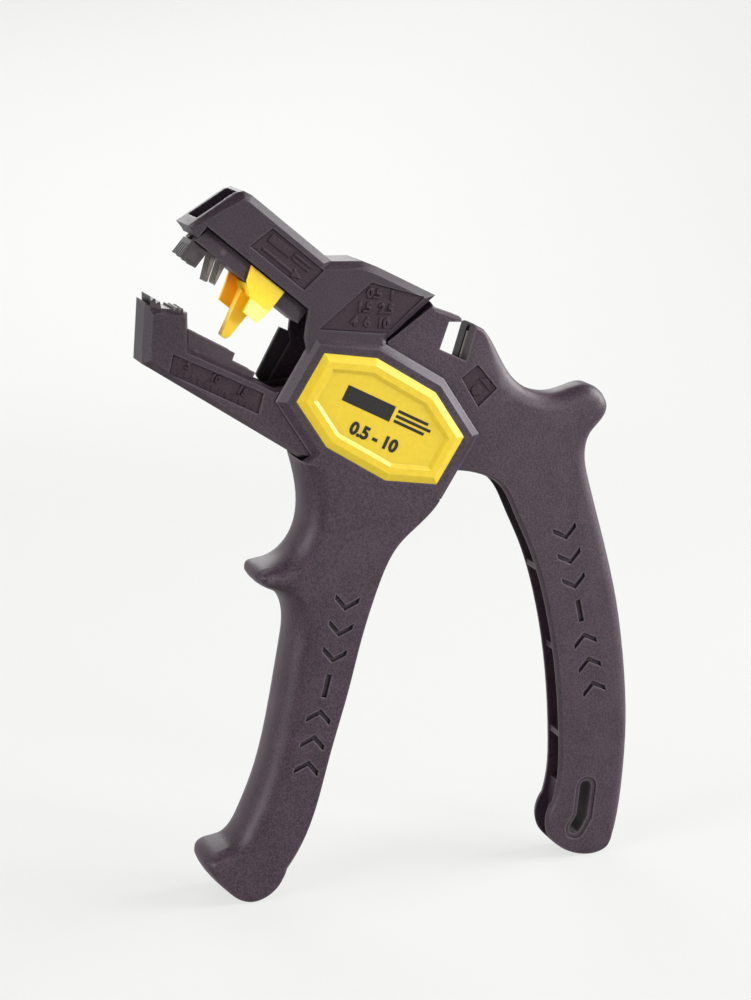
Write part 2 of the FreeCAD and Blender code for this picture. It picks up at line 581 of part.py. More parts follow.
def rear_lever():
    """Rear handle, tongue, arm and side-cutter prong in one moulding."""
    palm = softened(SPUR_SOFT, hub, (30.4, 21.5))
    palm += softened(PALM_SOFT, hub, (35.2, 14.3))
    palm += softened(SADDLE_SOFT, hub, (40.2, 6.9), (44.8, 4.0), (50.2, 2.9), (55.4, 3.9))
    palm += softened(PALM_SOFT, hub, (60.4, 4.9), (64.2, 3.2), (66.8, -1.4), (65.4, -5.0), (61.9, -9.0),
                     (60.6, -14.4), (61.8, -21.4))
    palm += softened(PALM_SOFT, grip, (65.9, 0.94), (70.7, 0.75), (73.6, 0.56), (74.8, 0.36), (74.0, 0.205),
                     (72.4, 0.085))
    palm += softened(FOOT_SOFT, grip, (69.2, 0.02), (64.4, 0.0), (59.4, 0.006), (54.6, 0.03))
    palm += softened(LIP_SOFT, grip, (50.9, 0.072), (50.3, 0.115), (52.4, 0.168))
    inner = palm[-1:]
    inner += softened(LIP_SOFT, grip, (53.7, 0.23), (54.0, 0.33), (52.7, 0.529), (49.0, 0.747), (43.5, 0.921),
                      (39.6, 1.007))
    inner += softened(LIP_SOFT, hub, (34.6, -20.6), (28.6, -17.5), (22.5, -16.4))
    # Round the lower jaw's ears the body is hollowed to an arc about the pivot
    hollow = []
    for degrees in range(-62, 79, 14):
        angle = math.radians(degrees)
        hollow.append(soft(hub((EAR_R + 2 * RUN) * math.cos(angle), (EAR_R + 2 * RUN) * math.sin(angle)), 0))
    corners = hollow[-1:] + softened(0, hub, HUMP_BACK_CLEAR[1])
    corners += softened(SPUR_SOFT, hub, HUMP_BACK_CLEAR[0], (17.0, 27.7), (23.9, 25.1), (27.4, 23.2))
    corners += palm[:1]
    sides = [list(pair) for pair in zip(corners, corners[1:])]
    under = [inner[-1], hollow[0]]
    handle = rounded_slab([palm, inner, under, hollow] + sides, REAR_HALF, REAR_RIM, 3)

    # Ribbed channel that faces the front handle
    room = REAR_HALF - REAR_WALL
    channel = [hub(31.0, -26.0), hub(32.5, -18.6), hub(41.0, -20.5), grip(52.0, 1.03), grip(58.5, 0.96),
               grip(62.0, 0.87), grip(66.2, 0.74), grip(69.0, 0.56), grip(70.0, 0.36), grip(69.4, 0.215),
               grip(55.0, 0.215), grip(54.4, 0.16), grip(53.8, 0.055), grip(45, 0.03), grip(36, 0.60)]
    handle = handle.cut(plate(channel, room))
    ribs = []
    for share, near, far in ((0.84, 46.6, 64.0), (0.6, 53.0, 69.4), (0.35, 54.5, 71.2)):
        x0, z = grip(near, share)
        x1 = grip(far, share)[0]
        ribs.append(plate([(x0, z), (x1, z + RIB_RISE), (x1, z + RIB_RISE + RIB), (x0, z + RIB)], room + RUN))

    # Tongue about the pivot, the arm to the traction pin, and the pads of the two springs
    arm = [hub(-9.5, 11.3), hub(-3.2, 26.0), hub(4.4, 25.6), hub(9.5, 23.0), hub(9.5, 10.0)]
    lift = JAW_SPRING_FOOT - SEAT
    lifter = [hub(JAW_SPRING_DX - SPRING_PAD, lift), hub(-12.0, lift), hub(-10.5, -10.4),
              hub(JAW_SPRING_DX - 0.4, -9.0)]
    pad = box_outline(RETURN_DX - SPRING_PAD, RETURN_HEAD + SEAT, RETURN_DX + SPRING_PAD, -9.0)
    tongue = [rod(PIVOT, TONGUE_R, -TONGUE_HALF, TONGUE_HALF), rod(DRAW, ARM_R, -TONGUE_HALF, TONGUE_HALF)]
    tongue += [plate(points, TONGUE_HALF) for points in (arm, lifter, pad)]
    body = handle.fuse(ribs + tongue)

    # The carriage's tail runs between the arm's ears, and the cutter blade in the middle plane
    tail_way = plate([upper(7.6, 12.0), upper(7.6, 32.0), upper(30.0, 32.0), upper(30.0, 4.0)], EAR_GAP)
    blade_way = plate([hub(5.0, -8.0), hub(20.8, 1.2), hub(29.1, 12.0), hub(29.3, 20.8), hub(27.0, 36.0),
                       hub(14.6, 36.0), hub(15.0, 31.0), hub(16.3, 17.8), hub(2.0, 12.0)], CUTTER_HALF + RUN)
    cuts = [tail_way.cut(rod(PIVOT, TONGUE_R, -EAR_GAP, EAR_GAP)), blade_way,
            rod(PIVOT, RETURN_PAD_R + RUN, -CUTTER_HALF - RUN, CUTTER_HALF + RUN),
            rod(PIVOT, BUSH_R + SEAT, -REAR_HALF, REAR_HALF),
            rod(DRAW, DRAW_R + SEAT, -REAR_HALF, REAR_HALF),
            plate([hub(dx, dz) for dx, dz in NOTCH], REAR_HALF + 1)]
    for start, end in zip(HANG_SLOT, HANG_SLOT[1:]):
        cuts.append(capsule(grip(*start), grip(*end), HANG_R, -REAR_HALF - 1, REAR_HALF + 1))
        cuts += both_sides(lambda: capsule(grip(*start), grip(*end), HANG_R + HANG_DISH,
                                           REAR_HALF - PANEL_DEPTH, REAR_HALF + 1))
    panel = [hub(28.2, 12.3), hub(33.8, 5.6), hub(28.4, 0.9), hub(23.6, 9.0)]
    cuts.append(prism(panel, -REAR_HALF - 1, -REAR_HALF + PANEL_DEPTH))
    cuts += grip_marks(grip(54.4, 0.932), grip(63.3, 0.507), REAR_HALF)
    return body.cut(cuts).removeSplitter()


def traction_pin():
    """Pin across the arm's ears."""
    return rod(DRAW, DRAW_R, -TONGUE_HALF, TONGUE_HALF)


def traction_roller():
    """Roller on the traction pin, in the slot of the carriage's tail."""
    roller = rod(DRAW, ROLLER_R, -TAIL_HALF, TAIL_HALF)
    return roller.cut(rod(DRAW, DRAW_R + FIT, -FRONT_HALF, FRONT_HALF))


def cutter_blade():
    """Side-cutter blade: a ring round the bush, a foot held in the front handle, an edge at the notch."""
    ring = rod(PIVOT, CUTTER_RING_R, -CUTTER_HALF, CUTTER_HALF)
    arm = plate([hub(3.5, 7.6), hub(23.7, 9.4), hub(27.2, 20.6), hub(28.6, 20.3), hub(28.5, 12.4),
                 hub(20.2, 1.8), hub(5.0, -6.6)], CUTTER_HALF)
    foot = plate(box_outline(-CUTTER_FOOT, -CUTTER_TAIL, CUTTER_FOOT, 0), CUTTER_HALF)
    blade = ring.fuse([arm, foot]).cut(rod(PIVOT, BUSH_R + RUN, -1, 1))
    bevel = prism([hub(23.0, 7.2), hub(26.9, 21.6), hub(28.2, 21.2), hub(25.2, 8.0)],
                  CUTTER_HALF / 2, CUTTER_HALF + 1)
    return blade.cut(bevel).removeSplitter()


def floor_level(dx):
    """Height of the trough's floor, from the pivot."""
    (x0, z0), (x1, z1) = KEEL
    slope = (z1 - z0) / (x1 - x0)
    return z0 + (dx - x0) * slope + FLOOR * math.hypot(1, slope)


def lower_jaw():
    """Trough with a raised head, two ears about the pivot."""
    stations = softened(JAW_CHAMFER, hub, (-61.2, 33.2), (-62.4, 17.5), KEEL[0])
    stations += softened(LIP_SOFT, hub, KEEL[1])
    stations += softened(0, hub, (-8.0, -10.4), (-6.0, 11.6))
    stations += softened(LIP_SOFT, hub, (-27.7, 9.2), (HEAD_BACK, 20.6), (HEAD_BACK, 30.0), (-54.6, 30.6),
                         (-58.4, 31.4))
    walls = rounded_slab(straight_runs(stations), LOWER_HALF, JAW_CHAMFER, 1)
    ears = rod(PIVOT, EAR_R, -LOWER_HALF, LOWER_HALF)
    trough = [hub(HEAD_BACK, 60), hub(HEAD_BACK, floor_level(HEAD_BACK)),
              hub(FLOOR_END, floor_level(FLOOR_END)), hub(FLOOR_END, -30), hub(30, -30), hub(30, 60)]
    web = plate(box_outline(JAW_SPRING_DX - SPRING_PAD, JAW_SPRING_HEAD + SEAT, JAW_SPRING_DX + SPRING_PAD,
                            JAW_SPRING_HEAD + FLOOR), LOWER_INNER)
    body = walls.fuse(ears).cut(plate(trough, LOWER_INNER)).fuse(web)
    cuts = [rod(PIVOT, PIN_R + FIT, -FRONT_HALF, FRONT_HALF),
            plate(box_outline(JAW_INSERT[0] - SEAT, JAW_INSERT_FOOT - SEAT, JAW_INSERT[1] + SEAT, 60),
                  CLAMP_HALF + SEAT),
            prism([lower(57.5, -8.2), lower(31.2, -7.2), lower(30.0, -12.6), lower(56.3, -13.0)],
                  -LOWER_HALF - 1, -LOWER_HALF + PANEL_DEPTH)]
    return body.cut(cuts).removeSplitter()


def lower_clamp():
    """Toothed clamping block in the head of the lower jaw."""
    front, rear = JAW_INSERT
    crown = [hub(front, 34.6), hub(-57.2, 33.0)]
    heel = [hub(-54.2, 31.6), hub(rear, 31.0)]
    saddle = [hub(-57.0, 31.4), hub(-54.4, 31.0)]
    foot = [hub(rear, JAW_INSERT_FOOT), hub(front, JAW_INSERT_FOOT)]
    grooves = tooth_grooves(*crown, foot[0]) + tooth_grooves(*heel, foot[0])
    return plate(crown + saddle + heel + foot, CLAMP_HALF).cut(grooves)


def blade_leaf(place, foot, body, tips, pin):
    """Sprung leaves side by side, each a body with a slot for the pin and two ground points."""
    front, rear = body
    prong = (front - rear) * PRONG
    points = [place(front, foot), place(*tips[0]), place(tips[0][0] - POINT, tips[0][1] + POINT),
              place(front - prong, foot), place(rear + prong, foot),
              place(tips[1][0] + POINT, tips[1][1] + POINT), place(*tips[1]), place(rear, foot),
              place(rear, pin[1] + LEAF_EDGE), place(front, pin[1] + LEAF_EDGE)]
    half = BLADE_PIN_R + SEAT
    slot = [place(pin[0] + half, pin[1] - half), place(pin[0] - half, pin[1] - half),
            place(pin[0] - half, pin[1] + 2 * LEAF_EDGE), place(pin[0] + half, pin[1] + 2 * LEAF_EDGE)]
    leaf = plate(points, LEAF / 2).cut(plate(slot, LEAF))
    leaves = []
    for index in range(LEAVES):
        copy = leaf.copy()
        copy.translate(V(0, (index - (LEAVES - 1) / 2) * LEAF_PITCH, 0))
        leaves.append(copy)
    return Part.makeCompound(leaves)


def upper_blades():
    """Spring-steel leaves that hang below the upper carriage."""
    tips = ((BLADE_U - 1.0, -0.4), (BLADE_U - 3.6, 0.4))
    return blade_leaf(upper, BAR_LOW, UPPER_LEAF, tips, UPPER_PIN)


def upper_blade_pin():
    """Cross pin that holds the upper leaves in the carriage."""
    return rod(upper(*UPPER_PIN), BLADE_PIN_R, -BAR_HALF + RUN, BAR_HALF - RUN)


def lower_place(ahead, depth):
    """The lower leaves stand upright: ahead of the pivot, and below the carriage's top."""
    return hub(-ahead, LOWER_TOP - depth)


def lower_blades():
    """Spring-steel leaves that stand in the lower carriage."""
    tips = ((LOWER_LEAF[0] - 0.5, 0.5), (LOWER_LEAF[1] + 0.3, 1.5))
    return blade_leaf(lower_place, 4.4, LOWER_LEAF, tips, LOWER_PIN)


def lower_blade_pin():
    """Cross pin that holds the lower leaves in their carriage."""
    return rod(lower_place(*LOWER_PIN), BLADE_PIN_R, -LOWER_CARRIAGE_HALF + RUN, LOWER_CARRIAGE_HALF - RUN)


def upper_carriage():
    """Sliding bar under the upper jaw, its body inside the jaw and its slotted tail."""
    body_half = UPPER_INNER - RUN
    front = CLAMP_REAR - 0.9
    bar = plate([upper(BAR_REAR, BAR_LOW), upper(BAR_FRONT, BAR_LOW), upper(BAR_FRONT - 0.8, BAR_HIGH),
                 upper(BAR_REAR, BAR_HIGH)], BAR_HALF)
    body = plate([upper(35.0, BAR_HIGH - 1), upper(front, BAR_HIGH - 1), upper(front, CARRIAGE_HIGH),
                  upper(35.0, CARRIAGE_HIGH)], body_half)
    end = DRAW_U - ROLLER_R - 2.9
    slot_end = DRAW_V + DRAW_RISE
    tail = plate([upper(end, DRAW_V - 3.4), upper(36.0, DRAW_V - 3.4), upper(36.0, CARRIAGE_HIGH),
                  upper(DRAW_U + 7.0, CARRIAGE_HIGH + 1.4), upper(DRAW_U + 5.0, slot_end + 3.4),
                  upper(end, slot_end + 3.4)], TAIL_HALF)
    carriage = bar.fuse([body, tail])
    blade_front = UPPER_LEAF[0] + RUN
    blade_rear = UPPER_LEAF[1] - RUN
    leaf_top = UPPER_PIN[1] + LEAF_EDGE + SEAT
    cuts = [capsule(DRAW, upper(DRAW_U, slot_end), ROLLER_R + ROLLER_PLAY, -TAIL_HALF - 1, TAIL_HALF + 1),
            plate([upper(blade_rear, 0), upper(blade_front, 0), upper(blade_front, leaf_top),
                   upper(blade_rear, leaf_top)], LEAF_ROOM),
            plate([upper(blade_front - 1, 0), upper(JAW_REACH + 1, 0),
                   upper(JAW_REACH + 1, CARRIAGE_HIGH + 1), upper(front, CARRIAGE_HIGH + 1),
                   upper(front, BAR_HIGH), upper(blade_front - 1, BAR_HIGH)], STEM_HALF + RUN),
            rod(upper(*UPPER_PIN), BLADE_PIN_R + SEAT, -BAR_HALF + RUN, BAR_HALF - RUN)]
    return carriage.cut(cuts).removeSplitter()


def lower_carriage():
    """Forked slide in the trough: blades at its front, open behind them for the stop's fin."""
    deep = -11.7
    body = plate([hub(HEAD_BACK + RUN, LOWER_TOP), hub(-37.8, 18.8), hub(-38.6, 16.8), lower(35.0, -3.4),
                  lower(35.0, deep), lower(50.7, deep)], LOWER_CARRIAGE_HALF)
    top = LOWER_PIN[1] + LEAF_EDGE + SEAT
    rear = LOWER_LEAF[1] - RUN
    cuts = [plate([hub(-rear, 40), hub(-rear, 14.6), lower(46.0, -9.6), lower(30.0, -9.6), lower(30.0, 20)],
                  FIN_HALF + 2 * RUN),
            plate([lower_place(60, -8), lower_place(60, top), lower_place(rear, top), lower_place(rear, -8)],
                  LEAF_ROOM),
            rod(lower_place(*LOWER_PIN), BLADE_PIN_R + SEAT, RUN - LOWER_CARRIAGE_HALF,
                LOWER_CARRIAGE_HALF - RUN)]
    return body.cut(cuts).removeSplitter()


def stop_wing(outline_points, low):
    """A wing of the stop on the far side, bent outwards below the bend line."""
    inner = WING_INNER
    flare = inner + WING_FLARE
    section = [(BAR_HIGH, inner), (WING_BEND, inner), (low, flare), (low, flare + WING),
               (WING_BEND, inner + WING), (BAR_HIGH, inner + WING)]
    corners = []
    for across, y in section:
        x, z = upper(JAW_REACH, across)
        corners.append(V(x, y, z))
    front_x, front_z = upper(JAW_REACH, 0)
    back = V(PIVOT[0] - front_x, 0, PIVOT[1] - front_z)
    strip = Part.Face(Part.makePolygon(corners + corners[:1])).extrude(back)
    return strip.common(prism(outline_points, 0, FRONT_HALF))


def length_stop():
    """Saddle that hugs the bar: two flared wings, a bridge under the bar and the stop fin."""
    rear = JAW_REACH - WING_BACK
    low = BAR_LOW - RUN / 2
    high = BAR_HIGH - RUN / 3
    near = [upper(rear + 11.2, high), upper(rear, high), upper(rear, 4.0), upper(rear + 1.0, WING_LOW),
            upper(rear + 5.7, WING_LOW), upper(rear + 6.1, 3.2), upper(rear + 9.7, 6.3)]
    far = [upper(rear + 11.6, high), upper(rear, high), upper(rear, 4.0), upper(rear + 1.0, FAR_WING_LOW),
           upper(rear + 8.6, FAR_WING_LOW), upper(rear + 11.4, 6.2)]
    near_wing = stop_wing(near, WING_LOW).mirror(V(0, 0, 0), ALONG_Y)
    bridge = plate([upper(rear + 8.6, low), upper(rear + 0.6, low), upper(rear + 0.6, 3.6),
                    upper(rear + 6.4, 3.6)], WING_INNER + WING / 2)
    fin = plate([upper(rear + 7.9, 4.0), upper(rear + 2.4, 4.0), upper(rear + 2.7, -FIN_DROP + 1),
                 upper(rear + 3.3, -FIN_DROP), upper(rear + 4.8, -FIN_DROP)], FIN_HALF)
    return near_wing.fuse([stop_wing(far, FAR_WING_LOW), bridge, fin]).removeSplitter()


def return_spring():
    """Spring that pushes the rear lever open."""
    return coil(RETURN_DX, RETURN_FOOT, RETURN_HEAD, RETURN_R)


def jaw_spring():
    """Spring through which the rear lever lifts the lower jaw."""
    return coil(JAW_SPRING_DX, JAW_SPRING_FOOT, JAW_SPRING_HEAD, JAW_SPRING_R)


NODES = (front_lever, upper_clamp, badge, pivot_pin, pivot_retaining_ring, pivot_washers, cutter_blade,
         return_spring, rear_lever, pivot_bush, traction_pin, traction_roller, lower_jaw, lower_clamp,
         jaw_spring, upper_carriage, upper_blades, upper_blade_pin, lower_carriage, lower_blades,
         lower_blade_pin, length_stop)


def main():
    os.makedirs("parts", exist_ok=True)
    for make in NODES:
        shape = make()
        shape.exportStep(os.path.join("parts", make.__name__ + ".step"))
        print(make.__name__, len(shape.Solids), "solids", round(shape.Volume, 1), "mm3", shape.isValid())


main()
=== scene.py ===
# %% [markdown]
# An automatic wire stripper, drawn from its imported CAD model. The CAD pieces already have their real shape,
# size and place, so they are loaded as a fixed frame and get only their finish here. What a mould or a
# printer adds to them, such as figures, signs and print, is built as extra pieces that ride on the same
# bodies, and the two coil springs are wound anew in place of the CAD ones. Lengths are in metres, as in the
# frame; MM turns millimetres into them.

# %% Load the frame
import json
import math
import bmesh
import bpy
from mathutils import Matrix, Vector


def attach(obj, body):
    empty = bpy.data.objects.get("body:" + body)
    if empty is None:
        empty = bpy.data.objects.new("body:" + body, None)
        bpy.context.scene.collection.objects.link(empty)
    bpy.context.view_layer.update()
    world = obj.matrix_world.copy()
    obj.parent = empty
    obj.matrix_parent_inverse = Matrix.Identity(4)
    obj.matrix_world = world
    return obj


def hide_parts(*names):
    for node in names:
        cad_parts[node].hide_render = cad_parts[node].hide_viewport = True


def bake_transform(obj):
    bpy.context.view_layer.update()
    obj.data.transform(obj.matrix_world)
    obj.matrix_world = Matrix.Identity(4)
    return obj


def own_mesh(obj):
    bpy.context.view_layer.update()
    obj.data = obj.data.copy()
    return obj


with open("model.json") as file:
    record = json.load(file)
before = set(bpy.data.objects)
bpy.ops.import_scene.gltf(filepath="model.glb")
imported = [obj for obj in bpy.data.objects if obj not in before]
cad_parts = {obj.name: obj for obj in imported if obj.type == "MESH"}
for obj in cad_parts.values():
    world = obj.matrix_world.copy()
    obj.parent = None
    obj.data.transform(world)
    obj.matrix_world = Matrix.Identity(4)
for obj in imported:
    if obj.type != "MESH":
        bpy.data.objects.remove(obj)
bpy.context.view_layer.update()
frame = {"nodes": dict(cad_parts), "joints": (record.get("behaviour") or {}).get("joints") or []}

MM = 0.001
nodes = frame["nodes"]
joints = {joint["name"]: joint for joint in frame["joints"]}

# %% [markdown]
# Colours are written as the sRGB hex values that one would pick from a swatch, and Blender's shaders want
# linear light, so one function converts them with the curve of the sRGB standard. A second small function
# adds any node: its settings are set as attributes, and each input gets either a plain value or a link from
# another node's output. A Mix node's colour sockets share their names with its number sockets, so they go
# by place. Most finishes here start as two tones of one colour, mixed by a pattern, and that has a function
# too.

# %% Colour and node helpers
MIX_FACTOR, MIX_A, MIX_B = 0, 6, 7
MIX_COLOUR = 2


def linear(hex_colour):
    channels = [int(hex_colour[i:i + 2], 16) / 255 for i in (1, 3, 5)]
    return [c / 12.92 if c <= 0.04045 else ((c + 0.055) / 1.055) ** 2.4 for c in channels] + [1.0]


def add_node(tree, kind, inputs=None, **settings):
    node = tree.nodes.new(kind)
    for name, value in settings.items():
        setattr(node, name, value)
    for name, value in (inputs or {}).items():
        socket = node.inputs[name]
        if isinstance(value, bpy.types.NodeSocket):
            tree.links.new(value, socket)
        else:
            socket.default_value = value
    return node


def new_material(name):
    material = bpy.data.materials.new(name)
    material.use_nodes = True
    material.node_tree.nodes.clear()
    return material, material.node_tree


def two_tones(tree, pattern, low, dark, high, light):
    share = add_node(tree, "ShaderNodeMapRange", {"Value": pattern, "From Min": low, "From Max": high})
    tones = add_node(tree, "ShaderNodeMix", {MIX_FACTOR: share.outputs["Result"], MIX_A: linear(dark),
                                             MIX_B: linear(light)}, data_type="RGBA")
    return tones.outputs[MIX_COLOUR]


print("linear of mid grey:", [round(c, 3) for c in linear("#808080")])

# %% [markdown]
# The body is moulded from glass-filled nylon. The mould was spark-eroded, which leaves a fine even grain,
# and the glass fibres near the skin make the dark colour very slightly cloudy. To the eye that is a matt
# surface with a wide soft sheen. One flat colour would look like painted card, so a fine noise and a broad
# one share in mixing two tones. The real grain is about 0.15 mm; it is drawn at 0.5 mm so that it shows
# from here.

# %% Grain and cloud of the nylon
NYLON_GRAIN = 0.5 * MM
NYLON_CLOUD = 7.0 * MM
GRAIN_SHARE = 0.8


def grain_and_colour(tree, place, dark, light):
    cloud = add_node(tree, "ShaderNodeTexNoise", {"Vector": place, "Scale": 1 / NYLON_CLOUD, "Detail": 3.0,
                                                  "Roughness": 0.5})
    grain = add_node(tree, "ShaderNodeTexNoise", {"Vector": place, "Scale": 1 / NYLON_GRAIN, "Detail": 2.0,
                                                  "Roughness": 0.6})
    both = add_node(tree, "ShaderNodeMix", {"Factor": GRAIN_SHARE, "A": cloud.outputs["Fac"],
                                            "B": grain.outputs["Fac"]})
    colour = two_tones(tree, both.outputs["Result"], low=0.38, dark=dark, high=0.62, light=light)
    return grain.outputs["Fac"], colour


print("nylon grain drawn at", NYLON_GRAIN / MM, "mm")

# %% [markdown]
# In use, the moulded edges are rubbed paler, and the same paler colour stands in for the light that their
# small radius catches: partly wear, partly painted highlight. A mask could be painted by hand, but occlusion
# that is looked up inside the solid finds the edges by itself: it is low where little plastic lies behind the
# surface.
# Occlusion outside the solid finds the deep recesses, which the mould maker can't polish: they stay rough,
# and there the colour is darkened as painted shade.

# %% Worn and highlighted edges, shaded recesses
OCCLUSION_SAMPLES = 4
NYLON_WEAR_AND_HIGHLIGHT = 0.6 * MM
FACE_INSIDE = 0.95
EDGE_INSIDE = 0.45
MOST_WEAR_AND_HIGHLIGHT = 0.35
NYLON_RECESS = 6.0 * MM
DEEP_AIR = 0.15
OPEN_AIR = 0.6
DEEP_SHADE = 0.15


# The paler edge colour is partly wear and partly painted highlight on the edge radius.
def worn_and_highlit_edges(tree, colour, rubbed_and_lit):
    inside = add_node(tree, "ShaderNodeAmbientOcclusion", {"Distance": NYLON_WEAR_AND_HIGHLIGHT}, inside=True,
                      only_local=True, samples=OCCLUSION_SAMPLES)
    wear_and_highlight = add_node(tree, "ShaderNodeMapRange", {"Value": inside.outputs["AO"], "From Min": FACE_INSIDE,
                                                 "From Max": EDGE_INSIDE, "To Max": MOST_WEAR_AND_HIGHLIGHT})
    worn_and_lit = add_node(tree, "ShaderNodeMix", {MIX_FACTOR: wear_and_highlight.outputs["Result"], MIX_A: colour,
                                            MIX_B: linear(rubbed_and_lit)}, data_type="RGBA")
    return worn_and_lit.outputs[MIX_COLOUR]


# Painted shade: the colour is darkened in the recesses that outside occlusion finds.
def painted_shade_of_recesses(tree):
    air = add_node(tree, "ShaderNodeAmbientOcclusion", {"Distance": NYLON_RECESS}, samples=OCCLUSION_SAMPLES)
    shade = add_node(tree, "ShaderNodeMapRange", {"Value": air.outputs["AO"], "From Min": DEEP_AIR,
                                                  "From Max": OPEN_AIR, "To Min": DEEP_SHADE, "To Max": 1.0})
    return shade.outputs["Result"]


print("wear within", NYLON_WEAR_AND_HIGHLIGHT / MM, "mm of an edge, recesses looked for within", NYLON_RECESS / MM, "mm")

# %% [markdown]
# Now the nylon is put together. Every moulded edge has a small radius that catches the light; a Bevel node
# rounds only the shading there, which costs no mesh. The colour of a piece can deepen with the height above
# the hub: painted shade that darkens the head against the grips. The raised signs come from engraving in the
# mould, which isn't polished, so they are duller, and their darker colour is painted shade of the sunk
# panels. The slides are mouldings of their own; their slightly paler colour is painted light that lifts them
# out of the shade where they sit recessed.

# %% Glass-filled nylon
SHADING_SAMPLES = 4
NYLON_EDGE = 0.35 * MM
GRAIN_DEPTH = 0.1 * MM
GRAIN_LOW = 0.3
GRAIN_HIGH = 0.7
NYLON_SMOOTH = 0.42
NYLON_ROUGH = 0.56
RECESS_ROUGH = 0.95
NYLON_IOR = 1.53
GRIPS_END = 132 * MM
HEAD_START = 154 * MM


def glass_filled_nylon(name, dark, light, rubbed_and_lit, head=1.0, sheen=0.3):
    material, tree = new_material(name)
    place = add_node(tree, "ShaderNodeTexCoord").outputs["Object"]
    grain, colour = grain_and_colour(tree, place, dark, light)
    worn_and_lit = worn_and_highlit_edges(tree, colour, rubbed_and_lit)
    recess = painted_shade_of_recesses(tree)
    # Painted shade: the colour darkens with the height from the grips to the head, down to the factor head.
    height = add_node(tree, "ShaderNodeSeparateXYZ", {"Vector": place})
    head_shade = add_node(tree, "ShaderNodeMapRange", {"Value": height.outputs["Z"], "From Min": GRIPS_END,
                                                    "From Max": HEAD_START, "To Min": 1.0, "To Max": head})
    painted_shade = add_node(tree, "ShaderNodeMath", {0: recess, 1: head_shade.outputs["Result"]}, operation="MULTIPLY")
    painted_shade_colour = add_node(tree, "ShaderNodeMix", {MIX_FACTOR: 1.0, MIX_A: worn_and_lit, MIX_B: painted_shade.outputs["Value"]},
                      data_type="RGBA", blend_type="MULTIPLY")
    rough = add_node(tree, "ShaderNodeMapRange", {"Value": grain, "From Min": GRAIN_LOW,
                                                  "From Max": GRAIN_HIGH, "To Min": NYLON_SMOOTH,
                                                  "To Max": NYLON_ROUGH})
    rougher = add_node(tree, "ShaderNodeMapRange", {"Value": recess, "From Min": DEEP_SHADE, "From Max": 1.0,
                                                    "To Min": RECESS_ROUGH,
                                                    "To Max": rough.outputs["Result"]})
    edge = add_node(tree, "ShaderNodeBevel", {"Radius": NYLON_EDGE}, samples=SHADING_SAMPLES)
    bump = add_node(tree, "ShaderNodeBump", {"Height": grain, "Strength": 0.6, "Distance": GRAIN_DEPTH,
                                             "Normal": edge.outputs["Normal"]})
    shader = add_node(tree, "ShaderNodeBsdfPrincipled", {"Base Color": painted_shade_colour.outputs[MIX_COLOUR],
                                                         "Roughness": rougher.outputs["Result"],
                                                         "IOR": NYLON_IOR, "Specular IOR Level": sheen,
                                                         "Normal": bump.outputs["Normal"]})
    add_node(tree, "ShaderNodeOutputMaterial", {"Surface": shader.outputs["BSDF"]})
    return material


body_nylon = glass_filled_nylon("glass_filled_nylon", "#20151f", "#3e2d3a", "#726a6d")
# The head's darker colour here is painted shade.
head_shaded_nylon = glass_filled_nylon("glass_filled_nylon_shaded_head", "#20151f", "#3e2d3a", "#726a6d", head=0.62)
# The darker colour of the signs and panel floors is painted shade of the sunk panels; their lower sheen is
# the rough mould finish.
shaded_sign_nylon = glass_filled_nylon("glass_filled_nylon_shaded_signs", "#1b1219", "#35272f", "#35272f", sheen=0.18)
# The slides' paler colour is painted light, lifting them out of the shade where they sit recessed.
lit_slide_nylon = glass_filled_nylon("glass_filled_nylon_lit_slides", "#2c2129", "#3d3039", "#6e6269")
print("nylons:", [m.name for m in (body_nylon, head_shaded_nylon, shaded_sign_nylon, lit_slide_nylon)])

# %% [markdown]
# The badge is moulded from yellow ABS in a polished tool, so it is smoother than the body: an even colour
# with a satin highlight and hardly any orange peel. The length stop slides, so it is acetal, a slippery
# plastic that lets light through: its thin wings glow. One recipe serves both, and subsurface scattering
# makes the glow. Light that has gone to and fro between yellow walls turns orange, so occlusion paints
# sheltered sides in a shaded colour: painted orange bounce light on the stop, and a dark painted shade where
# the badge's sides meet the hub.

# %% Yellow ABS and acetal
YELLOW_PEEL = 1.6 * MM
PEEL_DEPTH = 0.05 * MM
YELLOW_EDGE = 0.25 * MM
YELLOW_SHELTER = 12.0 * MM
YELLOW_IOR = 1.54
GLOW_REACH = 2.0 * MM
GLOW_COLOUR = (1.0, 0.4, 0.06)


